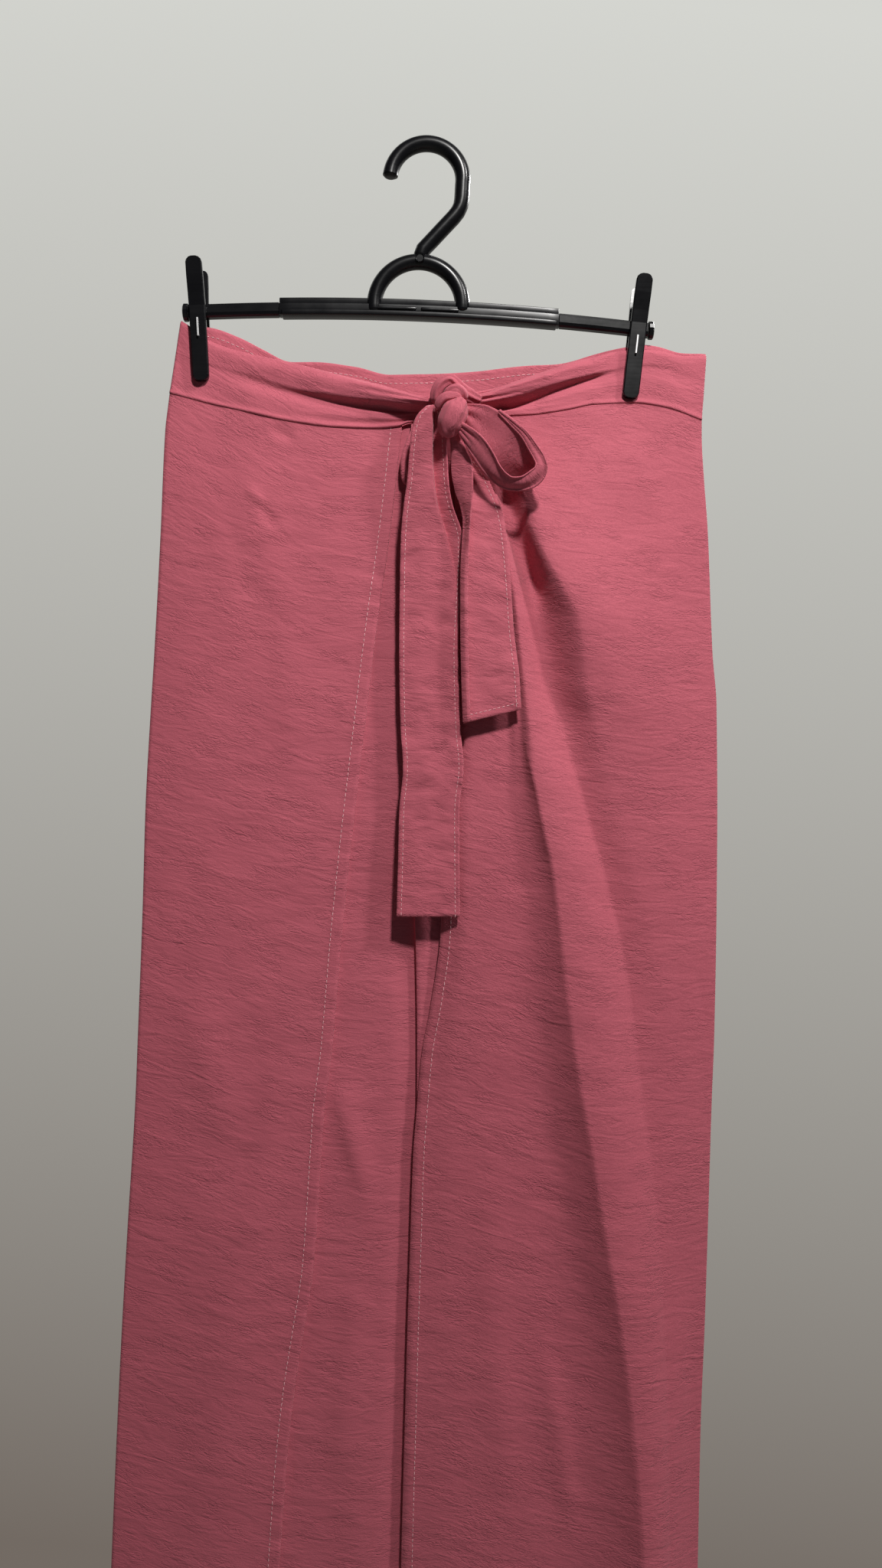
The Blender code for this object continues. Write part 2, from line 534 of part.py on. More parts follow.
def right_wrap_columns(down):
    """Columns that keep to the fold lines of the right wrap panel."""
    free = column(FREES, "right", down)
    side = column(SIDES, "right", down)
    crest = column(FOLDS, "crest_x", down)
    foot = crest - column(FOLDS, "run", down)
    valley, brow, shelf = [column(FOLDS, name + "_x", down) for name in ("valley", "brow", "shelf")]
    places = spread(free, foot, (0, 0.2, 0.6, 1))
    places += spread(foot, crest, (0.3, 0.55, 0.8, 1))
    places += spread(crest, valley, (0.3, 0.65, 1))
    places += spread(valley, brow, (0.3, 0.65, 1))
    places += spread(brow, shelf, (0.5, 1))
    return places + spread(shelf, side, (0.2, 0.4, 0.6, 0.8, 0.95, 1))


def make_wraps():
    left = panel_points(LEG_ROWS, left_wrap_columns, front_top, lambda x, down: wrap_out("left", x, down))
    sheet("left_wrap_panel", left, CLOTH)
    right = panel_points(LEG_ROWS, right_wrap_columns, front_top, lambda x, down: wrap_out("right", x, down))
    sheet("right_wrap_panel", right, CLOTH)


def top_places(columns, top):
    """Places of a panel's columns along its top edge."""
    places = []
    for i in range(len(columns(SEAM_LEVEL))):
        x = columns(SEAM_LEVEL)[i]
        for _ in range(3):
            x = columns(top(x))[i]
        places.append(x)
    return places


def on_edge(places, value, x):
    """A value along a panel's straight-sided top edge, or at x itself beyond its ends."""
    if x <= places[0] or x >= places[-1]:
        return value(x)
    i = bisect_right(places, x) - 1
    share = (x - places[i]) / (places[i + 1] - places[i])
    return value(places[i]) * (1 - share) + value(places[i + 1]) * share


def band_section(cuts, places, seam_x):
    """Face of a front band at one station, top edge to waist seam."""
    def face(x):
        return wrap_out(leg_of(x, front_top(x)), x, front_top(x))

    seam = on_edge(places, front_top, seam_x) - SEAM_GAP
    seam_out = on_edge(places, face, seam_x)
    x, top, low, valley, out_top, out_mid, out_low, out_valley, out_lower = [
        column(cuts, name, seam_x) for name in BandCut._fields[1:]]
    middle = (top + low) / 2
    lower = valley + 0.45 * (seam - valley)

    def across(down):
        return x + (seam_x - x) * (down - top) / (seam - top)

    downs = (top, middle, low, valley, lower, seam)
    outs = (out_top, out_mid, out_low, out_valley, max(out_lower, seam_out), seam_out)
    return [place(across(down), down, out) for down, out in zip(downs, outs)]


def make_bands(knot_space):
    for name, cuts, columns in (("waistband_left", LEFT_BAND, left_wrap_columns),
                                ("waistband_right", RIGHT_BAND, right_wrap_columns)):
        places = top_places(columns, front_top)
        stations = set(x for x in places if cuts[0].seam_x < x < cuts[-1].seam_x)
        stations |= set(cut.seam_x for cut in cuts[:4] + cuts[-4:])
        kept = []
        for x in sorted(stations):
            if not kept or x - kept[-1] > 2.5 or x == cuts[-1].seam_x:
                kept.append(x)
        sections = [band_section(cuts, places, x) for x in kept]
        band = sheet(name, [list(line) for line in zip(*sections)], BAND_CLOTH)
        boolean(band, "DIFFERENCE", knot_space)
    places = top_places(back_columns("left"), back_top) + top_places(back_columns("right"), back_top)
    first, last = BACK_TOP[0].x, BACK_TOP[-1].x
    seam_first, seam_last = places[0], places[-1]
    stretch = (seam_last - seam_first) / (last - first)
    stations = places + [seam_first + (row.x - first) * stretch for row in BACK_TOP[1:-1]]

    def face(x):
        return back_out(leg_of(x, back_top(x)), x, back_top(x))

    grid = [[], [], []]
    kept = []
    for x in sorted(set(stations)):
        if not kept or x - kept[-1] > 2.5 or x == seam_last:
            kept.append(x)
    for seam_x in kept:
        x = first + (seam_x - seam_first) / stretch
        top = column(BACK_TOP, "down", x)
        seam = on_edge(places, back_top, seam_x) - SEAM_GAP
        out = on_edge(places, face, seam_x)
        for line, share in zip(grid, (0, 0.5, 1)):
            line.append(place(x + (seam_x - x) * share, top + (seam - top) * share, out))
    sheet("waistband_back", grid, BAND_CLOTH, backwards=True)


def strip_grid(rails, steps, shares, crown):
    """Face of a strip between its two edges, raised by crown along its middle."""
    count = len(rails)
    keys = list(range(count))

    def edge(kind, at):
        return place(*[smooth_value(keys, [getattr(r, kind + part) for r in rails], at)
                       for part in ("_x", "_down", "_out")])

    grid = []
    for i in range(steps + 1):
        at = (count - 1) * i / steps
        near, far = edge("near", at), edge("far", at)
        ahead = edge("near", min(at + 0.1, count - 1)) + edge("far", min(at + 0.1, count - 1))
        behind = edge("near", max(at - 0.1, 0)) + edge("far", max(at - 0.1, 0))
        normal = (far - near).cross(ahead - behind).normalized()
        line = []
        for share in shares:
            line.append(near.lerp(far, share) + normal * crown * MM * 4 * share * (1 - share))
        grid.append(line)
    return grid


def make_bow(knot_space):
    for name, rails in (("bow_back", LOOP_BACK), ("bow_front", LOOP_FRONT)):
        length = sheet(name, strip_grid(rails, 2 * len(rails) - 2, (0, 0.3, 0.7, 1), 0.9), CLOTH)
        boolean(length, "DIFFERENCE", knot_space)
    sheet("side_loop", strip_grid(SIDE_LOOP, 14, (0, 0.5, 1), 0.3), CLOTH)


def tail_grid(cuts, levels, slant):
    grid = []
    first, last = cuts[0].down, cuts[-1].down
    for level in levels:
        left, front, back, right = [column(cuts, name, level) for name in ("left", "front", "back", "right")]
        outs = [column(cuts, "out_" + name, level) for name in ("left", "front", "back", "right")]
        xs = [left, (left + front) / 2, front, back, (back + right) / 2, right]
        ys = [outs[0], (outs[0] + outs[1]) / 2 + 0.4, outs[1], outs[2], (outs[2] + outs[3]) / 2, outs[3]]
        share = (level - first) / (last - first)
        line = []
        for x, out in zip(xs, ys):
            across = (x - left) / max(right - left, 1.0)
            line.append(place(x, level + slant * across * ease(3 * share - 2), out))
        grid.append(line)
    return grid


def make_tails(knot_space):
    long_levels = [171, 174, 177, 181, 186, 193, 201, 210, 220, 231, 242, 253, 265, 278, 300, 325,
                   350, 370, 383, 396, 410, 424, 455, 488]
    short_levels = [183.5, 187, 191, 194, 198, 204, 210, 217, 224, 231, 238, 246, 255, 265, 277, 291, 306, 324, 343, 366]
    long_tail = sheet("tail_long", tail_grid(LONG_TAIL, long_levels, 0), CLOTH)
    boolean(long_tail, "DIFFERENCE", knot_space)
    short_tail = sheet("tail_short", tail_grid(SHORT_TAIL, short_levels, SHORT_TAIL_SLANT), CLOTH)
    boolean(short_tail, "DIFFERENCE", knot_space)


def roll(name, lobes, extra, sides=10):
    """A bent roll of cloth through its lobes, with rounded ends."""
    points = [place(lobe.x, lobe.down, lobe.out) for lobe in lobes]
    rings = []
    for i, lobe in enumerate(lobes):
        along = (points[min(i + 1, len(lobes) - 1)] - points[max(i - 1, 0)]).normalized()
        deep = Vector((0, -1, 0))
        across = along.cross(deep).normalized()
        deep = across.cross(along).normalized()
        for end_shift, size in {0: ((-0.55, 0.6), (0, 1)), len(lobes) - 1: ((0, 1), (0.55, 0.6))}.get(i, ((0, 1),)):
            centre = points[i] + along * end_shift * (lobe.across + extra) * MM
            ring = []
            for s in range(sides):
                turn = 2 * math.pi * s / sides
                ring.append(centre
                            + across * math.cos(turn) * (lobe.across + extra) * size * MM
                            + deep * math.sin(turn) * (lobe.deep + extra) * size * MM)
            rings.append(ring)
    return loft(name, rings, "rose crepe")


def make_lump(name, extra):
    """All the knot's rolls, melted into one body."""
    parts = [roll(name + "_roll", lobes, extra) for lobes in KNOT_LOBES]
    shape = bmesh.new()
    for part in parts:
        shape.from_mesh(part.data)
        bpy.data.objects.remove(part)
    mesh = bpy.data.meshes.new(name)
    shape.to_mesh(mesh)
    shape.free()
    made = add_object(name, mesh, "rose crepe")
    melt = made.modifiers.new("melt", "REMESH")
    melt.mode = "VOXEL"
    melt.voxel_size = KNOT_VOXEL * MM
    melt.use_smooth_shade = True
    return made


def bar_down(x):
    """Height of the hanger bar's middle, which tilts and is bowed up."""
    away = x - BAR_MIDDLE_X
    return BAR_DOWN + BAR_SLOPE * away - BAR_BOW * (1 - (away / BAR_HALF) ** 2)


def bar_piece(name, start, end, steps, profile):
    """A length of the bar: a mirrored profile carried along the bowed line."""
    outline = profile + [(-out, up) for out, up in profile[::-1]]
    rings = []
    for i in range(steps + 1):
        x = start + (end - start) * i / steps
        rings.append([place(x, bar_down(x) - up, out) for out, up in outline])
    return loft(name, rings, "black plastic")


def rod(name, points, radius, sides=10):
    """A round rod along a path that lies in the hanger's plane."""
    rings = []
    for i, point in enumerate(points):
        along = (points[min(i + 1, len(points) - 1)] - points[max(i - 1, 0)]).normalized()
        across = along.cross(Vector((0, 1, 0))).normalized()
        ring = []
        for s in range(sides):
            turn = 2 * math.pi * s / sides
            ring.append(point + (across * math.cos(turn) + Vector((0, 1, 0)) * math.sin(turn)) * radius * MM)
        rings.append(ring)
    return rings


def arc_points(x, down, radius, start, end, steps):
    """Points on a circle in the hanger's plane, angles in degrees from the right, upwards."""
    points = []
    for i in range(steps + 1):
        turn = math.radians(start + (end - start) * i / steps)
        points.append(place(x + radius * math.cos(turn), down - radius * math.sin(turn), 0))
    return points


def make_hanger():
    hook_down = HOOK_RADIUS - ROD
    path = arc_points(HOOK_X, hook_down, HOOK_RADIUS, 176, -8, 20)
    path += [place(x, down, 0) for x, down in HOOK_STEM]
    rings = rod("hook", path, ROD)
    tip = path[0]
    before = (path[0] - path[1]).normalized()
    rounded = []
    for push, size in ((4.2, 0.45), (2.6, 0.82)):
        rounded.append([tip + before * push * MM + (point - tip) * size for point in rings[0]])
    hook = loft("hanger_hook", rounded + rings, "black plastic")

    arch_path = [place(ARCH_X - ARCH_RADIUS, ARCH_DOWN + ARCH_LEGS, 0)]
    arch_path += arc_points(ARCH_X, ARCH_DOWN, ARCH_RADIUS, 180, 0, 16)
    arch_path += [place(ARCH_X + ARCH_RADIUS, ARCH_DOWN + ARCH_LEGS, 0)]
    arch_space = helper(loft("arch_space", rod("arch", arch_path, ROD + SEAM_GAP), "black plastic"))
    boolean(hook, "DIFFERENCE", arch_space)
    arch = helper(loft("arch", rod("arch", arch_path, ROD), "black plastic"))
    sleeve = bar_piece("hanger_sleeve", *SLEEVE_ENDS, 12, SLEEVE_PROFILE)
    boolean(sleeve, "UNION", arch)

    for side, outer, inner in (("left", ARM_ENDS[0], SLEEVE_ENDS[0] - SEAM_GAP),
                               ("right", ARM_ENDS[1], SLEEVE_ENDS[1] + SEAM_GAP)):
        bar_piece("hanger_arm_" + side, min(outer, inner), max(outer, inner), 6, ARM_PROFILE)
        push = -1 if side == "left" else 1
        middle = place(outer, bar_down(outer), 0)
        rings = []
        for away, size in ((0, 0.86), (0.6, 1), (KNOB_WIDTH - 0.6, 1), (KNOB_WIDTH, 0.86)):
            centre = middle + Vector((push * (away + SEAM_GAP) * MM, 0, 0))
            rings.append([centre + Vector((0, math.cos(2 * math.pi * s / 14), math.sin(2 * math.pi * s / 14)))
                          * KNOB_RADIUS * size * MM for s in range(14)])
        loft("hanger_knob_" + side, rings, "black plastic")


def make_jaw(clip, face):
    """One jaw of a clip: a flat bar with round ends, bent towards the other jaw. face is 1 or -1."""
    top = Vector((clip.top_x, clip.top))
    bottom = Vector((clip.bottom_x, clip.bottom))
    length = (bottom - top).length
    along = (bottom - top) / length
    across = Vector((-along.y, along.x))
    rings = []
    end_cuts = [(0.0, 0.30), (0.5, 0.66), (1.6, 0.88), (3.2, 0.98)]
    cuts = [(away, width) for away, width in end_cuts]
    cuts += [(length * share, 1.0) for share in (0.14, 0.28, 0.38, 0.45, 0.53, 0.62, 0.75, 0.87)]
    cuts += [(length - away, width) for away, width in end_cuts[::-1]]
    edge = 0.7
    section = [(-1, 0.5 - edge / JAW_THICK), (-1 + edge / JAW_HALF_WIDTH, 0.5), (1 - edge / JAW_HALF_WIDTH, 0.5),
               (1, 0.5 - edge / JAW_THICK), (1, -0.5), (-1, -0.5)]
    for away, width in cuts:
        middle = top + along * away
        centre_out = column(JAW_BENDS, "out", away / length)
        ring = []
        for side, thick in section:
            flat = middle + across * side * width * JAW_HALF_WIDTH
            ring.append(place(flat.x, flat.y, face * (centre_out + thick * JAW_THICK)))
        rings.append(ring)
    loft("clip_" + clip.name + ("_front_jaw" if face > 0 else "_rear_jaw"), rings, "black plastic")


def make_clips():
    for clip in CLIPS:
        make_jaw(clip, 1)
        make_jaw(clip, -1)
        share = (SPRING_SHARES[0] + SPRING_SHARES[1]) / 2

        def on_clip(at, aside, out, clip=clip):
            x = clip.top_x + (clip.bottom_x - clip.top_x) * at
            down = clip.top + (clip.bottom - clip.top) * at
            return place(x + aside, down, out)

        face_out = max(column(JAW_BENDS, "out", at) for at in SPRING_SHARES) + JAW_THICK / 2 + SEAM_GAP + SPRING_RADIUS
        path = [on_clip(at, 0, face_out) for at in (SPRING_SHARES[0], share, SPRING_SHARES[1])]
        rings = rod("spring", path, SPRING_RADIUS, 6)
        loft("clip_" + clip.name + "_spring", rings, "spring steel")


def main():
    for old in list(bpy.data.objects):
        bpy.data.objects.remove(old)
    make_legs()
    make_wraps()
    make_lump("knot", 0)
    knot_space = helper(make_lump("knot_space", KNOT_CLEAR))
    make_bands(knot_space)
    make_bow(knot_space)
    make_tails(knot_space)
    make_hanger()
    make_clips()


main()
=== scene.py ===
# %% [markdown]
# # Rose wrap trousers on a clip hanger
#
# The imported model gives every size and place: the solids of the garment and of its hanger.
# This script makes the looks: cloth that hangs, creases and is stitched, a tie that is knotted
# in front, and a black plastic hanger with two clips. Each cell makes one kind of piece and
# prints what it made. All lengths in the tables are millimetres: x to the right as the front is
# seen, down from the point where the hook rests, out towards the one who looks.

import math
from collections import namedtuple

import bpy
import numpy as np
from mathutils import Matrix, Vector


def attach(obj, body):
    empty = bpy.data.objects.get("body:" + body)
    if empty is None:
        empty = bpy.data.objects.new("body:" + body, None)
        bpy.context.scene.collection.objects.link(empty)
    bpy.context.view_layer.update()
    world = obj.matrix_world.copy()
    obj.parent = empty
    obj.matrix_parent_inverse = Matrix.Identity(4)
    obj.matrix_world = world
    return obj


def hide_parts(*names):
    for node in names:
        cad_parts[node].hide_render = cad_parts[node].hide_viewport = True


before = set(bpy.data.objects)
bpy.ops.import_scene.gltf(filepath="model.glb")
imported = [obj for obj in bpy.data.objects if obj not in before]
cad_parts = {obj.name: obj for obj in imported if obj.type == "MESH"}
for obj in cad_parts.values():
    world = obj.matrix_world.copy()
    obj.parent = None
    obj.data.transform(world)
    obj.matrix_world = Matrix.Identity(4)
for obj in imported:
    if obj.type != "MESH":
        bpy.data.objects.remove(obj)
bpy.ops.object.select_all(action="DESELECT")
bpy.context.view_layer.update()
print("packed nodes:", len(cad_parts))

# %% [markdown]
# ## Sizes taken over from the cut
#
# The same short tables that the solids were cut from: side seams, inner legs, free edges of the
# two wrap panels, waist seam, and the folds. Reading them again keeps the cloth on its solid.
# A row of FOLDS goes across the right panel: crest, valley, brow and shelf, with place and height.

# %% Tables of the cut
def table(columns, *rows):
    """Rows of numbers with named columns."""
    row_kind = namedtuple("Row", columns)
    return [row_kind(*row) for row in rows]


MM = 0.001
CLOTH = 0.9            # one layer of crepe
BAND_CLOTH = 1.5       # the waistband is two layers
LAYER_STEP = 1.5       # from the under front's face to the wrap panel's face
HEM = 1150.0
SIDE_OUT = 1.0
BACK_SIDE_OUT = -1.5
SEAM_LEVEL = 172.0
SEAM_REACH = 110.0

SIDES = table(
    "down left right",
    (109, -157, 178), (127, -162, 178), (154, -164, 175.5), (180, -167, 175), (246, -170, 179),
    (322, -174, 182), (354, -176, 184.5), (418, -179.5, 185), (487, -181.5, 184.5),
    (567, -184.5, 183), (606, -186, 181.5), (688, -191, 179), (750, -194.5, 177),
    (812, -197.5, 174.5), (907, -201.5, 172.5), (1150, -210, 167))
INNERS = table(
    "down left right",
    (150, -8.5, -8.1), (467, -8.5, -8.1), (484, -8.0, -7.8), (500, -7.5, -7.3), (567, -3.0, -6.3),
    (607, -2.8, -6.4), (640, -5.0, -8.7), (712, -7.6, -11.3), (907, -12.8, -16.6),
    (1150, -17.2, -21.0))
TUCK = 4.3             # the left leg's inner edge lies this far back, behind the right leg
TUCK_WIDTH = 20.0
FREES = table(
    "down left right",
    (172, -15.5, 20), (247, -24, 17), (304, -32, 15.5), (391, -42.5, 13), (418, -45.7, 11.7),
    (501, -54.5, 8.5), (548, -58.5, 2), (576, -61, -3.2), (613, -65.7, -6.6), (640, -67.5, -8.7),
    (712, -72.5, -11.1), (748, -78, -12.3), (790, -84.5, -13.4), (836, -89.5, -14.7),
    (905, -94.4, -16.5), (1150, -114, -20.9))
SEAM = "x down"
FRONT_SEAM = table(
    SEAM,
    (-164, 155), (-130, 164), (-85, 174.5), (-57, 178), (-34, 178.6), (-18, 177.6), (-12, 175.5),
    (20, 172), (67, 170), (88, 167), (106.5, 163), (131, 161.3), (150, 164), (175, 172))
BACK_TOP = table(
    SEAM,
    (-157, 109), (-152, 112.2), (-141, 112.8), (-120, 119), (-107, 125), (-88, 132.8), (-75, 133),
    (-46, 136), (-24, 141), (1, 140.5), (32, 139), (64, 135.5), (81, 134.7), (108, 128.5),
    (126, 125.2), (140, 123.5), (148, 124.5), (164, 129), (178, 130))
BACK_SEAM = table(
    SEAM,
    (-164, 155), (-120, 166), (-75, 177.5), (-24, 185.5), (5, 186), (64, 181), (108, 174),
    (140, 170.5), (175, 172))
FULLNESS = table(
    "down front back opening",
    (110, 3.6, 5.5, 1), (172, 4.1, 6, 1), (300, 4.5, 9, 1), (445, 4.2, 10, 1), (492, 4, 10, 0),
    (600, 3.4, 10.5, 0), (907, 3, 11, 0), (1150, 4, 12, 0))
FOLDS = table(
    "down flat run climb crest_x crest valley_x valley brow_x brow shelf_x shelf",
    (160, 0, 8, 2, 36, 0, 44, 0, 58, 0, 100, 0),
    (180, 0.6, 8, 2, 38, 0.6, 45, 0.2, 60, 0.8, 104, 0.6),
    (205, 2.5, 8, 2, 41, 3, 45.5, 0.6, 60, 4.5, 112, 3),
    (237, 5, 8, 2, 45.5, 6.5, 49, 1, 64, 10.5, 122, 5),
    (259, 6, 8, 2, 49, 9.5, 57, 1, 73, 14, 134, 6), (281, 6, 8, 2, 52, 11, 65, 1, 85, 16.5, 142, 6),
    (303, 6, 8, 2, 53.8, 12, 71.5, 1.2, 96, 17, 148, 6),
    (325, 6, 8, 2, 55.8, 12.8, 75.5, 1.6, 99, 15.5, 150, 6),
    (346, 6, 8, 2.2, 57.6, 13.4, 79, 2.4, 101, 13, 150, 6),
    (368, 6, 9, 2.6, 59.6, 14, 86.5, 3.2, 108, 9.5, 150, 5.6),
    (390, 6, 12, 3, 63.4, 14.4, 91, 3.4, 112, 7, 150, 5),
    (412, 6, 18, 3.4, 68.3, 15, 97.5, 3.4, 118, 5.6, 152, 4.4),
    (434, 6, 22, 3.6, 72.5, 15.4, 103.5, 3, 124, 5, 154, 4),
    (455, 6, 26, 3.6, 77.3, 15.8, 110, 2.6, 130, 4.8, 156, 3.6),
    (477, 6, 30, 3.2, 80.4, 16, 115.5, 2.6, 136, 4.6, 158, 3.4),
    (499, 5.6, 33, 2.8, 83, 16, 121, 3, 140, 4.4, 160, 3.2),
    (521, 5, 36, 2.4, 85.2, 16, 125, 3.4, 143, 4.2, 161, 3),
    (545, 4.4, 38, 2.2, 88.2, 15.8, 129, 4, 146, 4, 162, 3),
    (589, 3.4, 42, 2, 94.5, 15.6, 134, 4.6, 151, 4, 164, 2.8),
    (631, 2.6, 44, 1.8, 102, 15.4, 140, 5.4, 156, 4, 166, 2.6),
    (686, 2, 46, 1.6, 111, 15.4, 146, 6.4, 158, 4, 167, 2.4),
    (755, 1.6, 50, 1.4, 122.5, 15.6, 150, 7.6, 160, 4.6, 167.5, 2.2),
    (810, 1.4, 54, 1.4, 129, 15.8, 152, 8.4, 161, 5, 167.5, 2),
    (904, 1.2, 56, 1.4, 135.5, 15.6, 153, 9, 161, 5, 167, 2),
    (1150, 1, 56, 1.4, 134, 15, 150, 8, 158, 4, 162.5, 1.6))
SOFTS = table(
    "face top_x top bottom_x bottom height width",
    ("left wrap", -118, 185, -98, 300, 1.6, 16), ("left wrap", -150, 520, -128, 640, 1.8, 14),
    ("left wrap", -120, 640, -140, 1150, 2.2, 26), ("left front", -52, 575, -34, 710, 2.2, 10),
    ("left front", -40, 720, -46, 1150, 1.8, 16), ("left back", -120, 210, -150, 1150, 3.2, 22),
    ("left back", -60, 260, -70, 1150, 4.2, 26), ("right back", 60, 230, 50, 1150, 4.6, 24),
    ("right back", 130, 210, 118, 1150, 3.0, 22))
BAND_CUT = "seam_x x top low valley out_top out_mid out_low out_valley out_lower"
LEFT_BAND = table(
    BAND_CUT,
    (-164, -157, 109, 130, 133, 2.2, 2.3, 2.3, 2.2, 2.3),
    (-156, -151, 113, 132, 135, 2.5, 2.7, 2.7, 2.5, 2.7),
    (-141, -140, 121.5, 136, 138.5, 2.7, 3.1, 3.0, 2.6, 3.0),
    (-119, -119, 129, 142, 145, 3.4, 4.6, 4.0, 3.2, 4.2),
    (-85, -85, 137, 153, 156, 5, 7.4, 6.4, 4.2, 6.2),
    (-62, -62, 143.5, 158, 161, 7, 10.2, 9, 5, 7.2),
    (-45, -45, 148.5, 161, 164, 9, 12.4, 11, 5.5, 7.4),
    (-29, -29, 153, 163.5, 166.5, 11, 14.4, 13, 6, 7.4),
    (-12, -12, 159, 166.5, 169.5, 14, 17, 15.8, 6.4, 7.2),
    (-4, -4, 161.8, 167.4, 170, 15.8, 18.4, 17.2, 7, 7), (4, 4, 164.6, 168.8, 171, 18, 20, 19, 8, 7))
RIGHT_BAND = table(
    BAND_CUT,
    (25, 25, 161.4, 167.6, 169.4, 18, 20, 19, 8, 7), (35, 35, 159, 166.4, 168.6, 15, 18, 17, 6.4, 7),
    (49, 49, 153.4, 161.8, 166.6, 12, 15.6, 14.6, 5.4, 7),
    (63, 63, 147.7, 157.2, 162.6, 10, 13.6, 12.6, 4.6, 7),
    (80, 80, 141.4, 152, 155.6, 8, 11.2, 10.4, 4.2, 6.4),
    (93, 93, 136.6, 148, 150.8, 6.4, 9.4, 8.8, 3.6, 5.8),
    (107, 107, 132.8, 143.8, 146, 4.8, 6.6, 6.2, 3, 4.8),
    (122, 122, 128.6, 139.6, 141.6, 2.9, 3.1, 3.1, 2.3, 2.9),
    (140, 140, 127.6, 137, 139, 2.7, 3.1, 3.1, 2.5, 2.9),
    (150.5, 150.5, 128.6, 138, 140, 2.7, 3.4, 3.4, 3, 3.2),
    (162, 163, 131.5, 142, 144, 2.6, 3.2, 3.2, 3, 3.0),
    (175, 178, 131, 145, 148, 2.2, 2.3, 2.3, 2.2, 2.3))
RAIL = "near_x near_down near_out far_x far_down far_out"
SIDE_LOOP = table(
    RAIL,
    (-9.8, 175.8, 7, -5.2, 175.1, 7), (-9.8, 180.2, 9.4, -4.8, 181, 9.4),
    (-12.6, 188, 11, -7, 189.2, 11), (-15.6, 197, 11.4, -10, 197.4, 11.4),
    (-17, 205, 11, -12.4, 205.4, 12.4), (-16.6, 212, 10.2, -12, 210, 12.4),
    (-13.4, 216.4, 9.4, -10, 212.4, 12), (-8.6, 216.8, 9.2, -7.4, 212.6, 12))
TAIL = "down left out_left front out_front back out_back right out_right"
LONG_TAIL = table(
    TAIL,
    (171, 0, 25, 4, 26, 5.5, 24, 7.5, 25), (176.5, -5.6, 25, 3, 26, 5, 21, 9.4, 24),
    (184, -8.7, 24.5, 3.6, 25.5, 4.4, 18, 10.8, 23), (200, -10.6, 23, 3.4, 24, 4, 16, 12.2, 21),
    (217, -12.1, 21, 4, 22, 5, 15, 13.2, 19), (230, -14.1, 19, 5.6, 20, 7.2, 14.5, 15.4, 18),
    (252, -16.1, 16, 11.6, 17, 13.4, 14, 22, 17), (277, -16.7, 14.5, 16, 15.2, 18, 14.6, 21.6, 16),
    (323, -17.2, 13, 8, 14.6, 12, 15, 19.4, 15.4), (369, -16.4, 13, 8, 14.6, 12, 15, 20.6, 15.6),
    (394, -14.8, 14, 8, 15.6, 12, 15.8, 22.6, 16), (422, -17.2, 13, 8, 14.8, 12, 15, 19.9, 15.4),
    (455, -18, 13, 8, 14.4, 12, 14.6, 20, 15), (488, -18.9, 13.4, 8, 14.2, 12, 14.2, 20.3, 14.6))
SHORT_TAIL = table(
    TAIL,
    (183.5, 17.5, 22.8, 13.8, 22.2, 12.4, 21, 19.4, 19.2),
    (191, 20.6, 22.4, 17, 21.6, 15.2, 20.4, 22, 18.6),
    (197, 24, 22, 17.5, 21.6, 15.6, 20, 25.6, 18.2),
    (209, 28.4, 22.2, 17.6, 21.6, 15.8, 19.4, 35.2, 17.6),
    (222, 28.6, 22.4, 19.6, 21.8, 17.9, 19.4, 41.4, 18.4),
    (231, 28, 22.8, 22.6, 22.4, 21, 20, 45, 19.6),
    (242, 27.2, 23.2, 24.4, 22.8, 22.8, 20.8, 47.8, 20.6),
    (254, 26.4, 23.2, 23.8, 22.8, 22.3, 21, 49.4, 21),
    (278, 25.2, 22.9, 22.8, 22.4, 21.4, 20.9, 51.6, 21.4),
    (306, 25.2, 22.9, 22.8, 22.4, 21.4, 20.8, 53.5, 21.6),
    (342, 25.9, 23.1, 23.5, 22.6, 22.1, 21, 57, 22),
    (366, 26.8, 23.3, 24.4, 22.8, 23, 21.2, 58.3, 22))
SHORT_TAIL_SLANT = -7.5   # the short tail's end rises to the right by this much
LOBE = "x down out across deep"
KNOT_OVER = table(
    LOBE,
    (5.5, 169, 21, 3.6, 4), (6.4, 163, 23, 4.2, 4.6), (9.6, 158, 24.5, 4.4, 4.8),
    (14.2, 156, 25, 4.2, 4.8), (18.4, 158.6, 24, 4.3, 4.6), (22, 162, 22.6, 4.9, 4.6),
    (26.5, 164.2, 21.6, 4.6, 4.4), (31, 165.8, 20.6, 3.6, 3.8), (34, 166.6, 20, 2.9, 3.2))
CLIPS = table(
    "x bottom",
    (-143.6, 148.6), (129.1, 159.7))
print("levels on the side seams:", len(SIDES), "levels of folds:", len(FOLDS))

# %% [markdown]
# ## Smooth curves through few sizes
#
# A pattern cutter draws a smooth curve through a few measured points. These functions do the
# same for whole arrays of places at once. The curve never swings past a measured point.

# %% Curves
def slopes_of(keys, values):
    steps = np.diff(values, axis=0) / np.diff(keys, axis=0)
    product = steps[:-1] * steps[1:]
    total = np.where(product > 0, steps[:-1] + steps[1:], 1)
    middle = np.where(product > 0, 2 * product / total, 0)
    return np.concatenate([steps[:1], middle, steps[-1:]])


def bend(t, span, value, slope, next_value, next_slope):
    """One stretch of a smooth curve, t from 0 to 1."""
    start = (1 + 2 * t) * (1 - t) ** 2 * value + t * (1 - t) ** 2 * span * slope
    end = t * t * (3 - 2 * t) * next_value + t * t * (t - 1) * span * next_slope
    return start + end


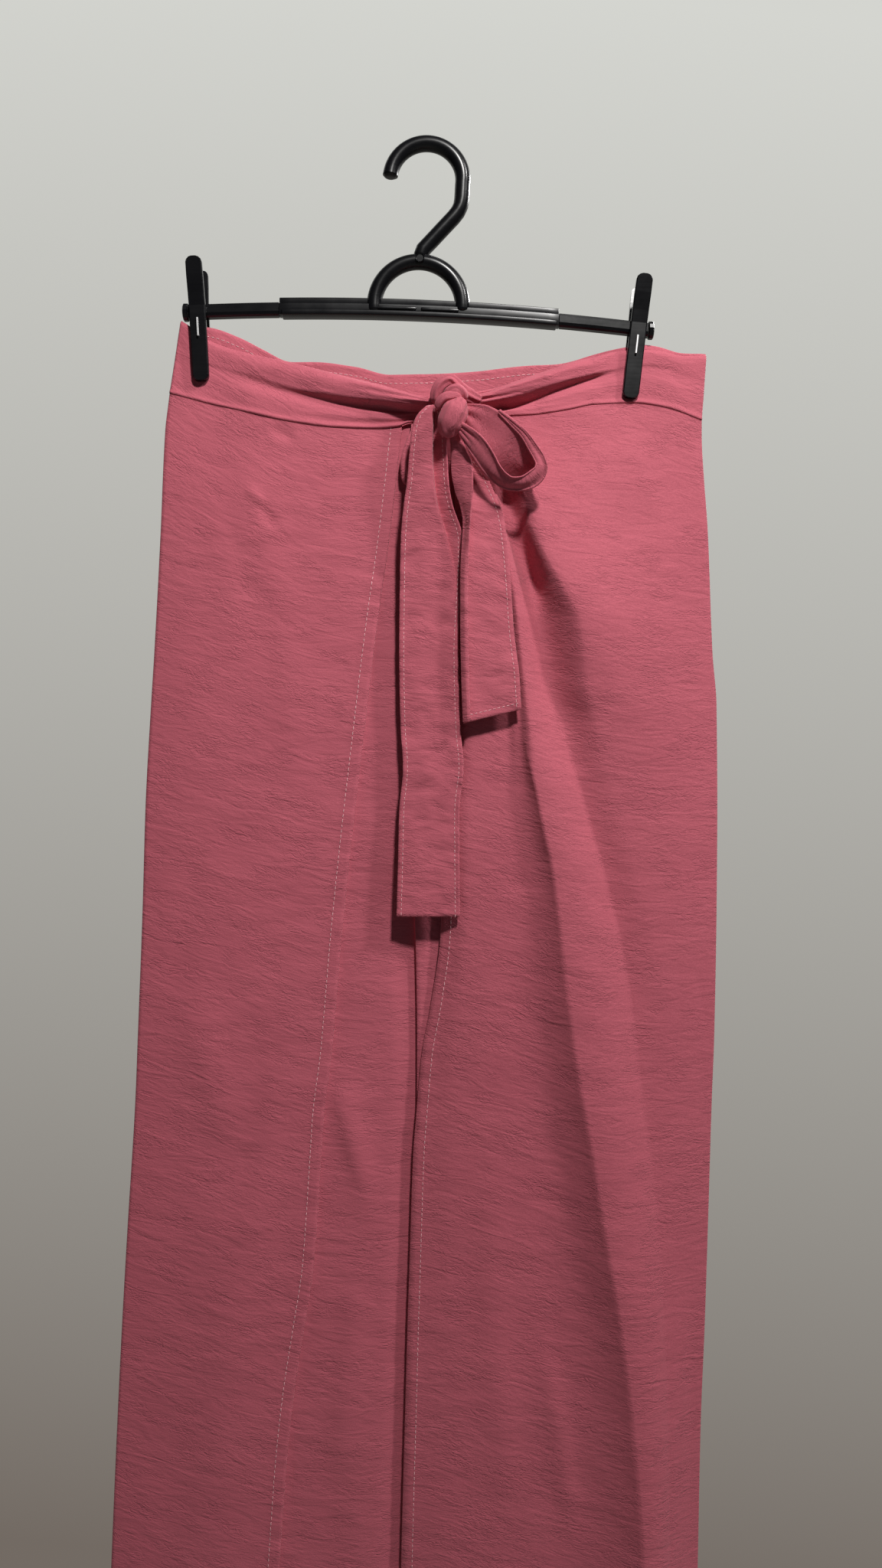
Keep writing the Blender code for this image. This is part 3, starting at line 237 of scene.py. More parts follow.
def smooth_value(keys, values, at):
    """Value at each place on one curve through keyed values."""
    keys, values = np.array(keys, float), np.array(values, float)
    slopes = slopes_of(keys, values)
    at = np.clip(np.asarray(at, float), keys[0], keys[-1])
    i = np.clip(np.searchsorted(keys, at, side="right") - 1, 0, len(keys) - 2)
    span = keys[i + 1] - keys[i]
    return bend((at - keys[i]) / span, span, values[i], slopes[i], values[i + 1], slopes[i + 1])


def column(rows, name, at):
    """One named column of a table, read smoothly."""
    return smooth_value([row[0] for row in rows], [getattr(row, name) for row in rows], at)


def smooth_across(keys, values, at):
    """The same where keys and values are arrays that change from place to place."""
    keys = np.array(np.broadcast_arrays(*[key + 0.0 * at for key in keys]))
    values = np.array(np.broadcast_arrays(*[value + 0.0 * at for value in values]))
    slopes = slopes_of(keys, values)
    at = np.clip(at, keys[0], keys[-1])
    i = np.clip((at >= keys).sum(axis=0) - 1, 0, len(keys) - 2)

    def pick(table, shift):
        return np.take_along_axis(table, (i + shift)[None], axis=0)[0]

    span = pick(keys, 1) - pick(keys, 0)
    return bend((at - pick(keys, 0)) / span, span, pick(values, 0), pick(slopes, 0),
                pick(values, 1), pick(slopes, 1))


def ease(t):
    t = np.clip(t, 0.0, 1.0)
    return t * t * (3 - 2 * t)


def place(x, down, out):
    """Points in metres from places in millimetres."""
    x, down, out = np.broadcast_arrays(x, down, out)
    return np.stack([x, -out, -down], axis=-1) * MM


print("side seams at 500 down:", column(SIDES, "left", 500.0), column(SIDES, "right", 500.0))

# %% [markdown]
# ## The hanging shape
#
# Each leg is a flat tube: the front stands off the side seams a little and the back falls
# behind them. The wrap panels lie on the under fronts. The right one swings forward in one
# large fold below the knot, because the tie pulls its corner up.

# %% Faces of the legs and of the wrap panels
def lens(u, opening):
    """Round of a leg from its side seam at 0 to its inner leg at 1."""
    u = np.clip(u, 0.0, 1.0)
    rim = 1 - np.abs(2 * u - 1) ** 2.5
    return np.where(u < 0.5, rim, rim + (1 - rim) * opening)


def pinch(x, down):
    """Share of its fullness that cloth keeps near the clips."""
    kept = 1.0
    for clip in CLIPS:
        below = np.maximum(0.0, down - clip.bottom - 6) / 40.0
        kept = kept - 0.88 * np.exp(-((x - clip.x) / 24.0) ** 2 - below)
    return kept


def soft_height(face, x, down):
    """Height of the long soft folds of one face."""
    total = 0.0 * x
    for fold in SOFTS:
        if fold.face == face:
            share = (down - fold.top) / (fold.bottom - fold.top)
            line = fold.top_x + (fold.bottom_x - fold.top_x) * share
            fade = ease((down - fold.top) / 60)
            if fold.bottom < HEM:
                fade = fade * ease((fold.bottom - down) / 60)
            total = total + fold.height * fade * np.exp(-((x - line) / fold.width) ** 2)
    return total


# creases pressed in: a line, its sideways bow, height, and width on either side
CREASES = table(
    "face x down end_x end_down bow height before after",
    ("left", -101, 180, -84, 187, 1, -1.2, 3.0, 4.5), ("left", -116, 217, -101, 230, 1, 1.3, 4, 3),
    ("left", -107, 224, -95, 244, -1, -1.4, 3.4, 4.6), ("left", -150, 200, -120, 330, 6, 0.9, 12, 8),
    ("left", -92, 250, -78, 420, -4, 0.8, 10, 14), ("left", -150, 430, -168, 560, 3, -0.9, 8, 10),
    ("left", -95, 560, -118, 720, 4, 0.8, 9, 12), ("left front", -61, 585, -36, 675, -2, 1.6, 4, 9),
    ("left front", -46, 700, -60, 860, 3, 1.2, 7, 9), ("right", 170, 516, 178, 575, 1, -1.4, 2.4, 4),
    ("right", 49, 206, 75, 300, 0, -7.5, 6, 4.6), ("right", 48, 255, 63, 412, 0, -5.6, 4, 3.0),
    ("right", 69, 748, 92, 890, 3, 1.6, 8, 7), ("right", 40, 620, 55, 900, -4, 1.4, 12, 10),
    ("right", 120, 180, 150, 240, 3, 0.9, 8, 8), ("left back", -150, 230, -110, 420, 5, 1.6, 12, 9),
    ("left back", -60, 230, -95, 520, -8, 2.0, 14, 11),
    ("left back", -40, 470, -75, 610, 4, 1.8, 9, 12),
    ("left back", -120, 620, -160, 980, 6, 1.7, 14, 12),
    ("right back", 150, 230, 105, 440, -5, 1.7, 12, 10),
    ("right back", 40, 240, 80, 540, 8, 2.1, 13, 12),
    ("right back", 20, 465, 62, 600, -4, 1.8, 10, 12),
    ("right back", 90, 640, 120, 1000, -5, 1.6, 13, 14))


def creased(face, x, down):
    """Height of the pressed creases of one face."""
    total = 0.0 * x
    for crease in CREASES:
        if crease.face != face:
            continue
        run = np.array([crease.end_x - crease.x, crease.end_down - crease.down])
        length = math.hypot(run[0], run[1])
        run = run / length
        along = ((x - crease.x) * run[0] + (down - crease.down) * run[1]) / length
        aside = (x - crease.x) * run[1] - (down - crease.down) * run[0]
        aside = aside - crease.bow * np.sin(math.pi * np.clip(along, 0, 1))
        width = np.where(aside < 0, crease.before, crease.after)
        fade = ease(along / 0.3) * ease((1 - along) / 0.3)
        total = total + crease.height * fade * np.exp(-(aside / width) ** 2)
    return total


def rumple(x, down, seed, wide, high):
    """Smooth uneven swells of a given width and height, from -1 to 1."""
    draw = np.random.default_rng(seed)
    table = draw.uniform(-1, 1, (64, 64))
    lean = x / wide
    fall = down / high + 0.6 * np.sin(lean * 0.7 + seed)
    i, j = np.floor(lean).astype(int), np.floor(fall).astype(int)
    s, t = ease(lean - i), ease(fall - j)

    def corner(a, b):
        return table[(i + a) % 64, (j + b) % 64]

    upper = corner(0, 0) * (1 - s) + corner(1, 0) * s
    lower = corner(0, 1) * (1 - s) + corner(1, 1) * s
    return upper * (1 - t) + lower * t


def tuck(leg, x, down):
    """How far the left leg's inner edge lies back, behind the right leg."""
    near = 1 - (column(INNERS, "left", down) - x) / TUCK_WIDTH
    return TUCK * ease(near) * ease((down - 430) / 60) * (leg == "left")


def leg_share(leg, x, down):
    side = column(SIDES, leg, down)
    return (x - side) / (column(INNERS, leg, down) - side)


def uneven(x, down, seed):
    """Small swells that any worn cloth has: broad ones, and flat ones that run across."""
    return 0.45 * rumple(x, down, seed, 31, 47) + 0.28 * rumple(x, down, seed + 1, 19, 8)


def under_out(leg, x, down):
    """Face of the under front."""
    u = leg_share(leg, x, down)
    full = column(FULLNESS, "front", down) * lens(u, column(FULLNESS, "opening", down))
    soft = soft_height(leg + " front", x, down) + creased(leg + " front", x, down)
    both = creased(leg, x, down) + uneven(x, down, 3 if leg == "left" else 5)
    return SIDE_OUT + full * pinch(x, down) + soft * lens(u, 0) + both * lens(u, 0.4) - tuck(leg, x, down)


def back_out(leg, x, down):
    """Face of the back."""
    u = leg_share(leg, x, down)
    full = column(FULLNESS, "back", down) * lens(u, column(FULLNESS, "opening", down))
    soft = soft_height(leg + " back", x, down) + creased(leg + " back", x, down)
    soft = soft + 1.6 * uneven(x, down, 7 if leg == "left" else 9)
    return BACK_SIDE_OUT - full * pinch(x, down) - soft * lens(u, 0.2) - tuck(leg, x, down)


def right_fold(x, down):
    """Height of the right wrap panel's folds over the under front."""
    free, side = column(FREES, "right", down), column(SIDES, "right", down)
    flat, run, climb_power, crest_x, crest, valley_x, valley, brow_x, brow, shelf_x, shelf = [
        column(FOLDS, name, down) for name in FOLDS[0]._fields[1:]]
    foot_x = crest_x - run
    keys = [free, free + 0.4 * (foot_x - free), foot_x, crest_x, valley_x, brow_x, shelf_x, side]
    soft = smooth_across(keys, [0.0, flat, flat, crest, valley, brow, shelf, 0.0], x)
    # lower down the crest is sharp: the cloth climbs to it and falls away ever more steeply
    climb = np.clip((x - foot_x) / run, 0, 1)
    fall = np.clip((x - crest_x) / (valley_x - crest_x), 0, 1)
    climb_power = climb_power + 0.9 * ease((down - 520) / 90)
    sharp = np.where(x < crest_x, flat + (crest - flat) * climb ** climb_power,
                     crest - (crest - valley) * fall ** 2.3)
    inside = (x > foot_x) & (x < valley_x)
    share = ease((down - 360) / 50)
    return np.where(inside, soft + (sharp - soft) * share, soft)


def wrap_out(leg, x, down):
    """Face of a wrap panel, with its turned and stitched free edge a little thicker."""
    height = right_fold(x, down) if leg == "right" else soft_height("left wrap", x, down)
    edge = np.abs(x - column(FREES, leg, down))
    turned = 0.35 * (1 - ease((edge - 6.4) / 1.2))
    pucker = 0.22 * np.sin(down / 2.9 + 2.1 * np.sin(down / 23)) * np.exp(-(edge / 7) ** 2)
    return under_out(leg, x, down) + LAYER_STEP + height + turned + pucker


def front_top(x):
    return column(FRONT_SEAM, "down", x)


def back_top(x):
    return column(BACK_SEAM, "down", x)


print("right fold stands out by", round(float(right_fold(np.array(60.0), np.array(418.0))), 1), "mm")

# %% [markdown]
# ## From a grid of points to a piece of cloth
#
# A cloth piece is a thin closed shell. Its face is the grid, its other side lies one wall
# behind, and a rounded edge joins them as a folded or turned edge does. Each point keeps its
# place on the flat cloth, in metres, so that the crinkles of the crepe follow the cut.

# %% Shell of cloth
def normals_of(grid):
    along, across = np.gradient(grid, axis=0), np.gradient(grid, axis=1)
    normal = np.cross(along, across)
    return normal / np.maximum(np.linalg.norm(normal, axis=-1, keepdims=True), 1e-12)


# the crinkles of the crepe run down to the right: their drop, by distance across the garment
LEAN = ((-200, -140, -60, 0, 90, 140, 200), (-4, 12, 32, 36, 58, 63, 64))


def flat_places(grid):
    """Place of each point on the flat cloth: distance across, and along the lean of the crinkles."""
    steps = np.linalg.norm(np.diff(grid, axis=1), axis=-1)
    across = np.concatenate([np.zeros((len(grid), 1)), np.cumsum(steps, axis=1)], axis=1)
    across = across - across[:, -1:] / 2
    steps = np.linalg.norm(np.diff(grid, axis=0), axis=-1).mean(axis=1)
    along = np.concatenate([[0.0], np.cumsum(steps)])[:, None] + 0 * across
    along = along - smooth_value(LEAN[0], LEAN[1], grid[..., 0] / MM) * MM
    return np.stack([across, along, 0 * across], axis=-1)


def finish_piece(name, points, faces, material, flat=None):
    mesh = bpy.data.meshes.new(name)
    mesh.from_pydata(points.tolist(), [], faces)
    if flat is not None:
        layer = mesh.attributes.new("flat_place", "FLOAT_VECTOR", "POINT")
        layer.data.foreach_set("vector", flat.reshape(-1))
    mesh.materials.append(material)
    mesh.shade_smooth()
    made = bpy.data.objects.new(name, mesh)
    bpy.context.scene.collection.objects.link(made)
    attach(made, "root")
    return made


def cloth_shell(name, grid, wall, material, backwards=False):
    """A shell on a grid of points in metres; its face is seen from the front, or from behind."""
    rows, count = grid.shape[:2]
    facing = -1.0 if backwards else 1.0
    inner = grid - facing * normals_of(grid) * wall * MM
    flat = flat_places(grid) + np.array([0, 0, 0.37 * (sum(map(ord, name)) % 17)])
    ring = [(0, c) for c in range(count)] + [(r, count - 1) for r in range(1, rows)]
    ring += [(rows - 1, c) for c in range(count - 2, -1, -1)] + [(r, 0) for r in range(rows - 2, 0, -1)]
    ring_at = np.array([r * count + c for r, c in ring])
    one, other = grid.reshape(-1, 3), inner.reshape(-1, 3)
    middle = (one[ring_at] + other[ring_at]) / 2
    inside = np.array([min(max(r, 1), rows - 2) * count + min(max(c, 1), count - 2) for r, c in ring])
    away = middle - (one[inside] + other[inside]) / 2
    away = away / np.maximum(np.linalg.norm(away, axis=1, keepdims=True), 1e-9)
    rim = middle + away * 0.4 * wall * MM
    index = np.arange(rows * count).reshape(rows, count)
    quads = np.stack([index[:-1, :-1], index[1:, :-1], index[1:, 1:], index[:-1, 1:]], axis=-1)
    quads = quads.reshape(-1, 4)
    if backwards:
        quads = quads[:, ::-1]
    back = quads[:, ::-1] + rows * count
    first = 2 * rows * count
    here = np.arange(len(ring))
    ahead = (here + 1) % len(ring)
    far_at = ring_at + rows * count
    upper = np.stack([ring_at, ring_at[ahead], first + ahead, first + here], axis=-1)
    lower = np.stack([first + here, first + ahead, far_at[ahead], far_at], axis=-1)
    if backwards:
        upper, lower = upper[:, ::-1], lower[:, ::-1]
    faces = np.concatenate([quads, back, upper, lower]).tolist()
    points = np.concatenate([one, other, rim])
    flat = flat.reshape(-1, 3)
    return finish_piece(name, points, faces, material, np.concatenate([flat, flat, flat[ring_at]]))


def cloth_size(grid):
    """Area of the face in square metres, and its width and length when laid flat."""
    a, b = grid[1:, 1:] - grid[:-1, :-1], grid[1:, :-1] - grid[:-1, 1:]
    area = float(np.linalg.norm(np.cross(a, b), axis=-1).sum() / 2)
    width = float(np.linalg.norm(np.diff(grid, axis=1), axis=-1).sum(axis=1).max())
    length = float(np.linalg.norm(np.diff(grid, axis=0), axis=-1).sum(axis=0).max())
    return area, width, length


def declare_cloth(made, grid, rests_on, nodes, layers=1.0):
    """Prints how large the piece was cut and how many faces it has, and hides the nodes it stands for."""
    area, width, length = cloth_size(grid)
    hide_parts(*nodes)
    print(made.name, "cut %.0f x %.0f mm, area %.4f m2" % (width * 1000, length * 1000, area),
          "faces", len(made.data.polygons))

# %% [markdown]
# ## Materials
#
# Node trees are easier to read as sums and products. Wire wraps one socket of a tree, so that
# plain maths signs add the maths nodes; any other node comes from one method.

# %% Wires and node maths
class Wire:
    def __init__(self, tree, socket=None):
        self.tree = tree
        self.socket = socket

    def node(self, kind, settings, inputs, output=0):
        made = self.tree.nodes.new(kind)
        for name, value in settings.items():
            setattr(made, name, value)
        for name, value in inputs:
            if isinstance(value, Wire):
                self.tree.links.new(value.socket, made.inputs[name])
            else:
                made.inputs[name].default_value = value
        return Wire(self.tree, made.outputs[output])

    def maths(self, operation, *values):
        return self.node("ShaderNodeMath", {"operation": operation}, list(enumerate(values)))

    def __add__(self, other):
        return self.maths("ADD", self, other)

    def __radd__(self, other):
        return self.maths("ADD", other, self)

    def __sub__(self, other):
        return self.maths("SUBTRACT", self, other)

    def __rsub__(self, other):
        return self.maths("SUBTRACT", other, self)

    def __mul__(self, other):
        return self.maths("MULTIPLY", self, other)

    def clamp(self):
        return self.maths("MINIMUM", self.maths("MAXIMUM", self, 0.0), 1.0)

    def into(self, shader, name):
        self.tree.links.new(self.socket, shader.inputs[name])


def new_material(name, values):
    """A material with constants on its shader, the shader, and a wire to start from."""
    made = bpy.data.materials.new(name)
    made.use_nodes = True
    shader = made.node_tree.nodes["Principled BSDF"]
    for key, value in values.items():
        shader.inputs[key].default_value = value
    return made, shader, Wire(made.node_tree)


def object_place(wires):
    return wires.node("ShaderNodeTexCoord", {}, [], output=3)


def noise(wires, where, stretch, detail=2.0, rough=0.5, twist=0.0):
    """Noise with so many swells in a metre each way."""
    where = wires.node("ShaderNodeVectorMath", {"operation": "MULTIPLY"}, [(0, where), (1, stretch)])
    return wires.node("ShaderNodeTexNoise", {}, [("Vector", where), ("Scale", 1.0), ("Detail", detail),
                                                 ("Roughness", rough), ("Distortion", twist)])


def mixed(wires, share, one, other):
    return wires.node("ShaderNodeMix", {"data_type": "RGBA"}, [(0, share), (6, one), (7, other)], output=2)


def bumped(wires, shader, strength, distance, height):
    wires.node("ShaderNodeBump", {}, [("Strength", strength), ("Distance", distance),
                                      ("Height", height)]).into(shader, "Normal")

# %% [markdown]
# ### Crepe
#
# The crepe is matt and dusty rose. Its surface is covered in fine crinkles that run across the
# piece, a few millimetres apart and up to three centimetres long, gathered in patches. Between
# them lies a much finer grain. Its colour carries painted shade: lighter on the crinkles' crests,
# darker in their valleys and along thin crease lines.

# %% Crepe
crepe, shader, wires = new_material("rose_crepe", {
    "Roughness": 0.82, "Sheen Weight": 0.12, "Sheen Roughness": 0.5, "Specular IOR Level": 0.3})
where = wires.node("ShaderNodeAttribute", {"attribute_name": "flat_place"}, [], output=1)
patches = noise(wires, where, (22, 30, 1), 1.0)
drift = noise(wires, where, (45, 70, 1), 1.0, 0.5, 0.3)
soft = noise(wires, where, (40, 150, 1), 2.0, 0.5, 1.2)
crinkle = noise(wires, where, (150, 450, 1), 3.0, 0.62, 1.5)
line = noise(wires, where, (95, 300, 1), 1.0, 0.5, 1.8)
grain = noise(wires, where, (1500, 1700, 1), 1.0)
strength = ((patches - 0.42) * 3.6).clamp() * 0.9 + 0.28
shaded_crease_lines = (1 - ((line - 0.5) * 13) * ((line - 0.5) * 13)).clamp() * ((drift - 0.47) * 7).clamp()
# painted shade: the crinkle term makes crests lighter and valleys darker, and the thin crease lines darker;
# grain and patches add the cloth's own uneven tone
tone = (crinkle - 0.5) * 0.5 * strength + (grain - 0.5) * 1.3 + (patches - 0.5) * 0.3
tone = (tone - shaded_crease_lines * 0.12 + 0.5).clamp()
mixed(wires, tone, (0.44, 0.088, 0.126, 1), (0.60, 0.134, 0.180, 1)).into(shader, "Base Color")
bumped(wires, shader, 1.0, 0.0013, soft * 0.5 + crinkle * strength * 0.36 - shaded_crease_lines * 0.11 + grain * 0.06)

# %% Thread, plastic and steel
thread, shader, wires = new_material("thread", {"Roughness": 0.6})
tone = noise(wires, object_place(wires), (900, 900, 900), 1.0)
mixed(wires, tone, (0.74, 0.36, 0.40, 1), (0.90, 0.56, 0.58, 1)).into(shader, "Base Color")

plastic, shader, wires = new_material("black_plastic", {
    "Base Color": (0.004, 0.004, 0.005, 1), "Specular IOR Level": 0.35})
where = object_place(wires)
cloud = noise(wires, where, (70, 70, 70), 3.0, 0.6)
scuff = noise(wires, where, (30, 400, 700), 4.0, 0.7)
(0.16 + cloud * 0.16 + scuff * 0.10).into(shader, "Roughness")
bumped(wires, shader, 0.25, 0.0001, cloud * 0.8 + scuff * 0.2)

steel, shader, wires = new_material("spring_steel", {"Metallic": 0.4, "Base Color": (0.85, 0.85, 0.86, 1)})
lines = noise(wires, object_place(wires), (4000, 4000, 200))
(0.2 + lines * 0.2).into(shader, "Roughness")
print("materials:", [m.name for m in (crepe, thread, plastic, steel)])

# %% [markdown]
# ## Legs and wrap panels
#
# Four plain panels make the trousers: a front and a back for each leg. A wrap panel lies over
# each front, from the side seam to its own free edge. The rows run from the waist seam to the
# hem; the first row follows the seam and the rows level out below it.

# %% Grids of the panels
def panel_grid(levels, columns, top, out):
    level = levels[:, None]
    down = level
    for _ in range(4):
        x = columns(down)
        down = level + (top(x) - SEAM_LEVEL) * ease(1 - (level - SEAM_LEVEL) / SEAM_REACH)
    return place(x, down, out(x, down))


def spaced(near, far):
    """Levels from the waist to the hem, closer together near the waist."""
    lower = np.linspace(330, HEM, round((HEM - 330) / far))
    return np.concatenate([np.arange(SEAM_LEVEL, 330, near), lower])


def leg_columns(leg, count):
    shares = np.linspace(0, 1, count)
    shares = shares - 0.45 * np.sin(2 * math.pi * shares) / (2 * math.pi)

    def columns(down):
        side, inner = column(SIDES, leg, down), column(INNERS, leg, down)
        places = side + (inner - side) * shares
        return places if leg == "left" else places[..., ::-1]
    return columns


def left_wrap_columns(down):
    side, free = column(SIDES, "left", down), column(FREES, "left", down)
    return side + (free - side) * WRAP_SHARES


WRAP_SHARES = np.linspace(0, 1, 64)
SPOTS = np.concatenate([np.linspace(k, k + 1, count)[:-1] for k, count in enumerate((20, 22, 18, 12, 14))]
                       + [np.linspace(5, 6, 16)])


def right_wrap_columns(down):
    """Columns that keep to the fold lines."""
    crest = column(FOLDS, "crest_x", down)
    lines = [column(FREES, "right", down), crest - column(FOLDS, "run", down), crest]
    lines += [column(FOLDS, name, down) for name in ("valley_x", "brow_x", "shelf_x")]
    lines = np.array([line + 0 * SPOTS for line in lines + [column(SIDES, "right", down)]])
    i = np.clip(np.floor(SPOTS).astype(int), 0, 5)
    i = np.broadcast_to(i, lines.shape[1:])[None]
    before, after = np.take_along_axis(lines, i, axis=0)[0], np.take_along_axis(lines, i + 1, axis=0)[0]
    return before + (after - before) * (SPOTS - i[0])


left_wrap_grid = panel_grid(spaced(1.6, 3.0), left_wrap_columns, front_top,
                            lambda x, down: wrap_out("left", x, down))
right_wrap_grid = panel_grid(spaced(1.6, 3.0), right_wrap_columns, front_top,
                             lambda x, down: wrap_out("right", x, down))
left_wrap = cloth_shell("left_wrap_cloth", left_wrap_grid, CLOTH, crepe)
right_wrap = cloth_shell("right_wrap_cloth", right_wrap_grid, CLOTH, crepe)

# %% Legs under the wrap
leg_pieces = {}
for leg in ("left", "right"):
    def under_face(x, down, leg=leg):
        # what shows beyond the wrap panel's free edge falls back a little
        free, inner = column(FREES, leg, down), column(INNERS, leg, down)
        beyond = x - free if leg == "left" else free - x
        shown = ease((beyond + 5) / 5) * ease(np.abs(x - inner) / 14) * ease((down - 190) / 40)
        return under_out(leg, x, down) - 2.2 * shown

    count = 62 if leg == "left" else 44
    front_grid = panel_grid(spaced(2.5, 3.2 if leg == "left" else 5.0), leg_columns(leg, count),
                            lambda x: front_top(x) + 0.8, under_face)
    back_grid = panel_grid(spaced(3.0, 4.2), leg_columns(leg, 60), back_top,
                           lambda x, down, leg=leg: back_out(leg, x, down))
    front = cloth_shell(leg + "_front_cloth", front_grid, CLOTH, crepe)
    back = cloth_shell(leg + "_back_cloth", back_grid, CLOTH, crepe, backwards=True)
    leg_pieces[leg] = (front, front_grid, back, back_grid)

# %% [markdown]
# ## Stitches
#
# One stitch is a short spindle of thread. It is made once and laid along a line on the cloth,
# a little sunk into it, with its own slight turn, so that a row reads as sewn and not as drawn.

# %% Rows of stitches
STITCH_SIDES = 6


def spindle():
    """Points of one stitch, one unit long and one unit thick, and its faces."""
    rings = [(-0.5, 0.25), (-0.28, 0.9), (0.28, 0.9), (0.5, 0.25)]
    points = [(along, size * 0.5 * math.cos(2 * math.pi * s / STITCH_SIDES),
               size * 0.5 * math.sin(2 * math.pi * s / STITCH_SIDES))
              for along, size in rings for s in range(STITCH_SIDES)]
    faces = []
    for r in range(3):
        for s in range(STITCH_SIDES):
            a, b = r * STITCH_SIDES + s, r * STITCH_SIDES + (s + 1) % STITCH_SIDES
            faces.append((a, b, b + STITCH_SIDES, a + STITCH_SIDES))
    faces.append(tuple(range(STITCH_SIDES))[::-1])
    faces.append(tuple(range(3 * STITCH_SIDES, 4 * STITCH_SIDES)))
    return np.array(points), faces


def resample(line, step):
    """Points at an even distance along a line of points, and the direction there."""
    lengths = np.concatenate([[0.0], np.cumsum(np.linalg.norm(np.diff(line, axis=0), axis=1))])
    at = np.arange(step / 2, lengths[-1], step)
    points = np.stack([np.interp(at, lengths, line[:, k]) for k in range(3)], axis=1)
    ahead = np.stack([np.interp(at + step / 3, lengths, line[:, k]) for k in range(3)], axis=1)
    behind = np.stack([np.interp(at - step / 3, lengths, line[:, k]) for k in range(3)], axis=1)
    along = ahead - behind
    return points, along / np.linalg.norm(along, axis=1, keepdims=True), at, lengths


def stitch_row(name, line, normals, seed, pitch=3.3, length=2.3, thick=0.5):
    draw = np.random.default_rng(seed)
    points, along, at, lengths = resample(line, pitch * MM)
    facing = np.stack([np.interp(at, lengths, normals[:, k]) for k in range(3)], axis=1)
    across = np.cross(facing, along)
    across = across / np.linalg.norm(across, axis=1, keepdims=True)
    facing = np.cross(along, across)
    shape, shape_faces = spindle()
    turn = draw.normal(0, 0.06, len(points))[:, None]
    along = along + across * turn
    size = length * (1 + draw.normal(0, 0.08, len(points)))[:, None, None]
    body = shape[None, :, :1] * along[:, None] * size + shape[None, :, 1:2] * across[:, None] * thick
    body = body + shape[None, :, 2:] * facing[:, None] * thick * 0.8
    body = points[:, None] + facing[:, None] * 0.05 * MM + body * MM
    faces = []
    for n in range(len(points)):
        faces += [tuple(v + n * len(shape) for v in face) for face in shape_faces]
    made = finish_piece(name, body.reshape(-1, 3), faces, thread)
    print(name, len(points), "stitches")
    return made


def line_on_grid(grid, inset, side, backwards=False):
    """A line at some distance inside a grid's left, right, top or bottom edge, with normals."""
    normals = normals_of(grid) * (-1 if backwards else 1)
    if side in ("top", "bottom"):
        grid, normals = grid.transpose(1, 0, 2), normals.transpose(1, 0, 2)
    if side in ("right", "bottom"):
        grid, normals = grid[:, ::-1], normals[:, ::-1]
    steps = np.linalg.norm(np.diff(grid, axis=1), axis=-1)
    lengths = np.concatenate([np.zeros((len(grid), 1)), np.cumsum(steps, axis=1)], axis=1)
    line, facing = [], []
    for row in range(len(grid)):
        line.append([np.interp(inset * MM, lengths[row], grid[row, :, k]) for k in range(3)])
        facing.append([np.interp(inset * MM, lengths[row], normals[row, :, k]) for k in range(3)])
    return np.array(line), np.array(facing)


def sewn(name, grid, inset, side, seed, backwards=False, **sizes):
    """A row of stitches inside an edge of a grid."""
    return stitch_row("stitch_" + name, *line_on_grid(grid, inset, side, backwards), seed, **sizes)


HEM_DEPTH = 20
edges = [sewn("left_wrap", left_wrap_grid, 6.8, "right", 2),
         sewn("right_wrap", right_wrap_grid, 6.8, "left", 3)]
hems = [sewn("left_wrap_hem", left_wrap_grid, HEM_DEPTH, "bottom", 4),
        sewn("right_wrap_hem", right_wrap_grid, HEM_DEPTH, "bottom", 5)]
declare_cloth(left_wrap, left_wrap_grid, ["left_front_cloth"],
              ["left_wrap_panel"])
declare_cloth(right_wrap, right_wrap_grid, ["right_front_cloth"],
              ["right_wrap_panel"])
for leg in ("left", "right"):
    front, front_grid, back, back_grid = leg_pieces[leg]
    hems = [sewn(leg + "_front_hem", front_grid, HEM_DEPTH, "bottom", 6),
            sewn(leg + "_back_hem", back_grid, HEM_DEPTH, "bottom", 7, True)]
    declare_cloth(front, front_grid, ["waistband_" + leg + "_cloth"], [leg + "_leg_front"])
    declare_cloth(back, back_grid, ["waistband_back_cloth"], [leg + "_leg_back"])

# %% [markdown]
# ## Waistband
#
# The band is two layers of crepe. In front it is pulled to the knot, so that each half gathers
# into a rolled upper edge with a valley below it. Behind it lies flat.

# %% Front bands
def wrap_at(x, down):
    left = x < column(INNERS, "left", down) + 0.2
    return np.where(left, wrap_out("left", x, down), wrap_out("right", x, down))


def band_grid(cuts, count, steps):
    """Face of a front band, rows from the top edge down to the waist seam."""
    seam_x = np.linspace(cuts[0].seam_x, cuts[-1].seam_x, count)
    x, top, low, valley = [column(cuts, name, seam_x) for name in ("x", "top", "low", "valley")]
    outs = [column(cuts, "out_" + name, seam_x) for name in ("top", "mid", "low", "valley", "lower")]
    seam = front_top(seam_x)
    seam_out = wrap_at(seam_x, seam)
    downs = [top, (top + low) / 2, low, valley, valley + 0.45 * (seam - valley), seam]
    outs = outs[:4] + [np.maximum(outs[4], seam_out), seam_out]
    share = np.linspace(0, 1, steps)[:, None]
    down = top + (seam + 0.5 - top) * share
    out = smooth_across([d + 0 * down for d in downs], [o + 0 * down for o in outs], down)
    lip = np.exp(-((seam - down) / 1.6) ** 2)
    out = out + 0.9 * lip - 1.0 * np.exp(-((down - top) / 1.3) ** 2)
    out = out + 0.25 * rumple(x + 0 * down, down, 11, 15, 7)
    pulled = np.exp(-((x - 14) / 62) ** 2)
    out = out + pulled * (0.65 * np.cos(19 * share + 0.035 * x) + 0.35 * np.cos(37 * share - 0.02 * x + 1))
    across = x + (seam_x - x) * share
    return place(across, down, out)


bands = {}
for side, cuts, node in (("left", LEFT_BAND, "waistband_left"), ("right", RIGHT_BAND, "waistband_right")):
    grid = band_grid(cuts, 120, 44)
    band = cloth_shell("waistband_" + side + "_cloth", grid, BAND_CLOTH, crepe)
    declare_cloth(band, grid, ["clip_" + side + "_rear_jaw"], [node])
    bands[side] = grid

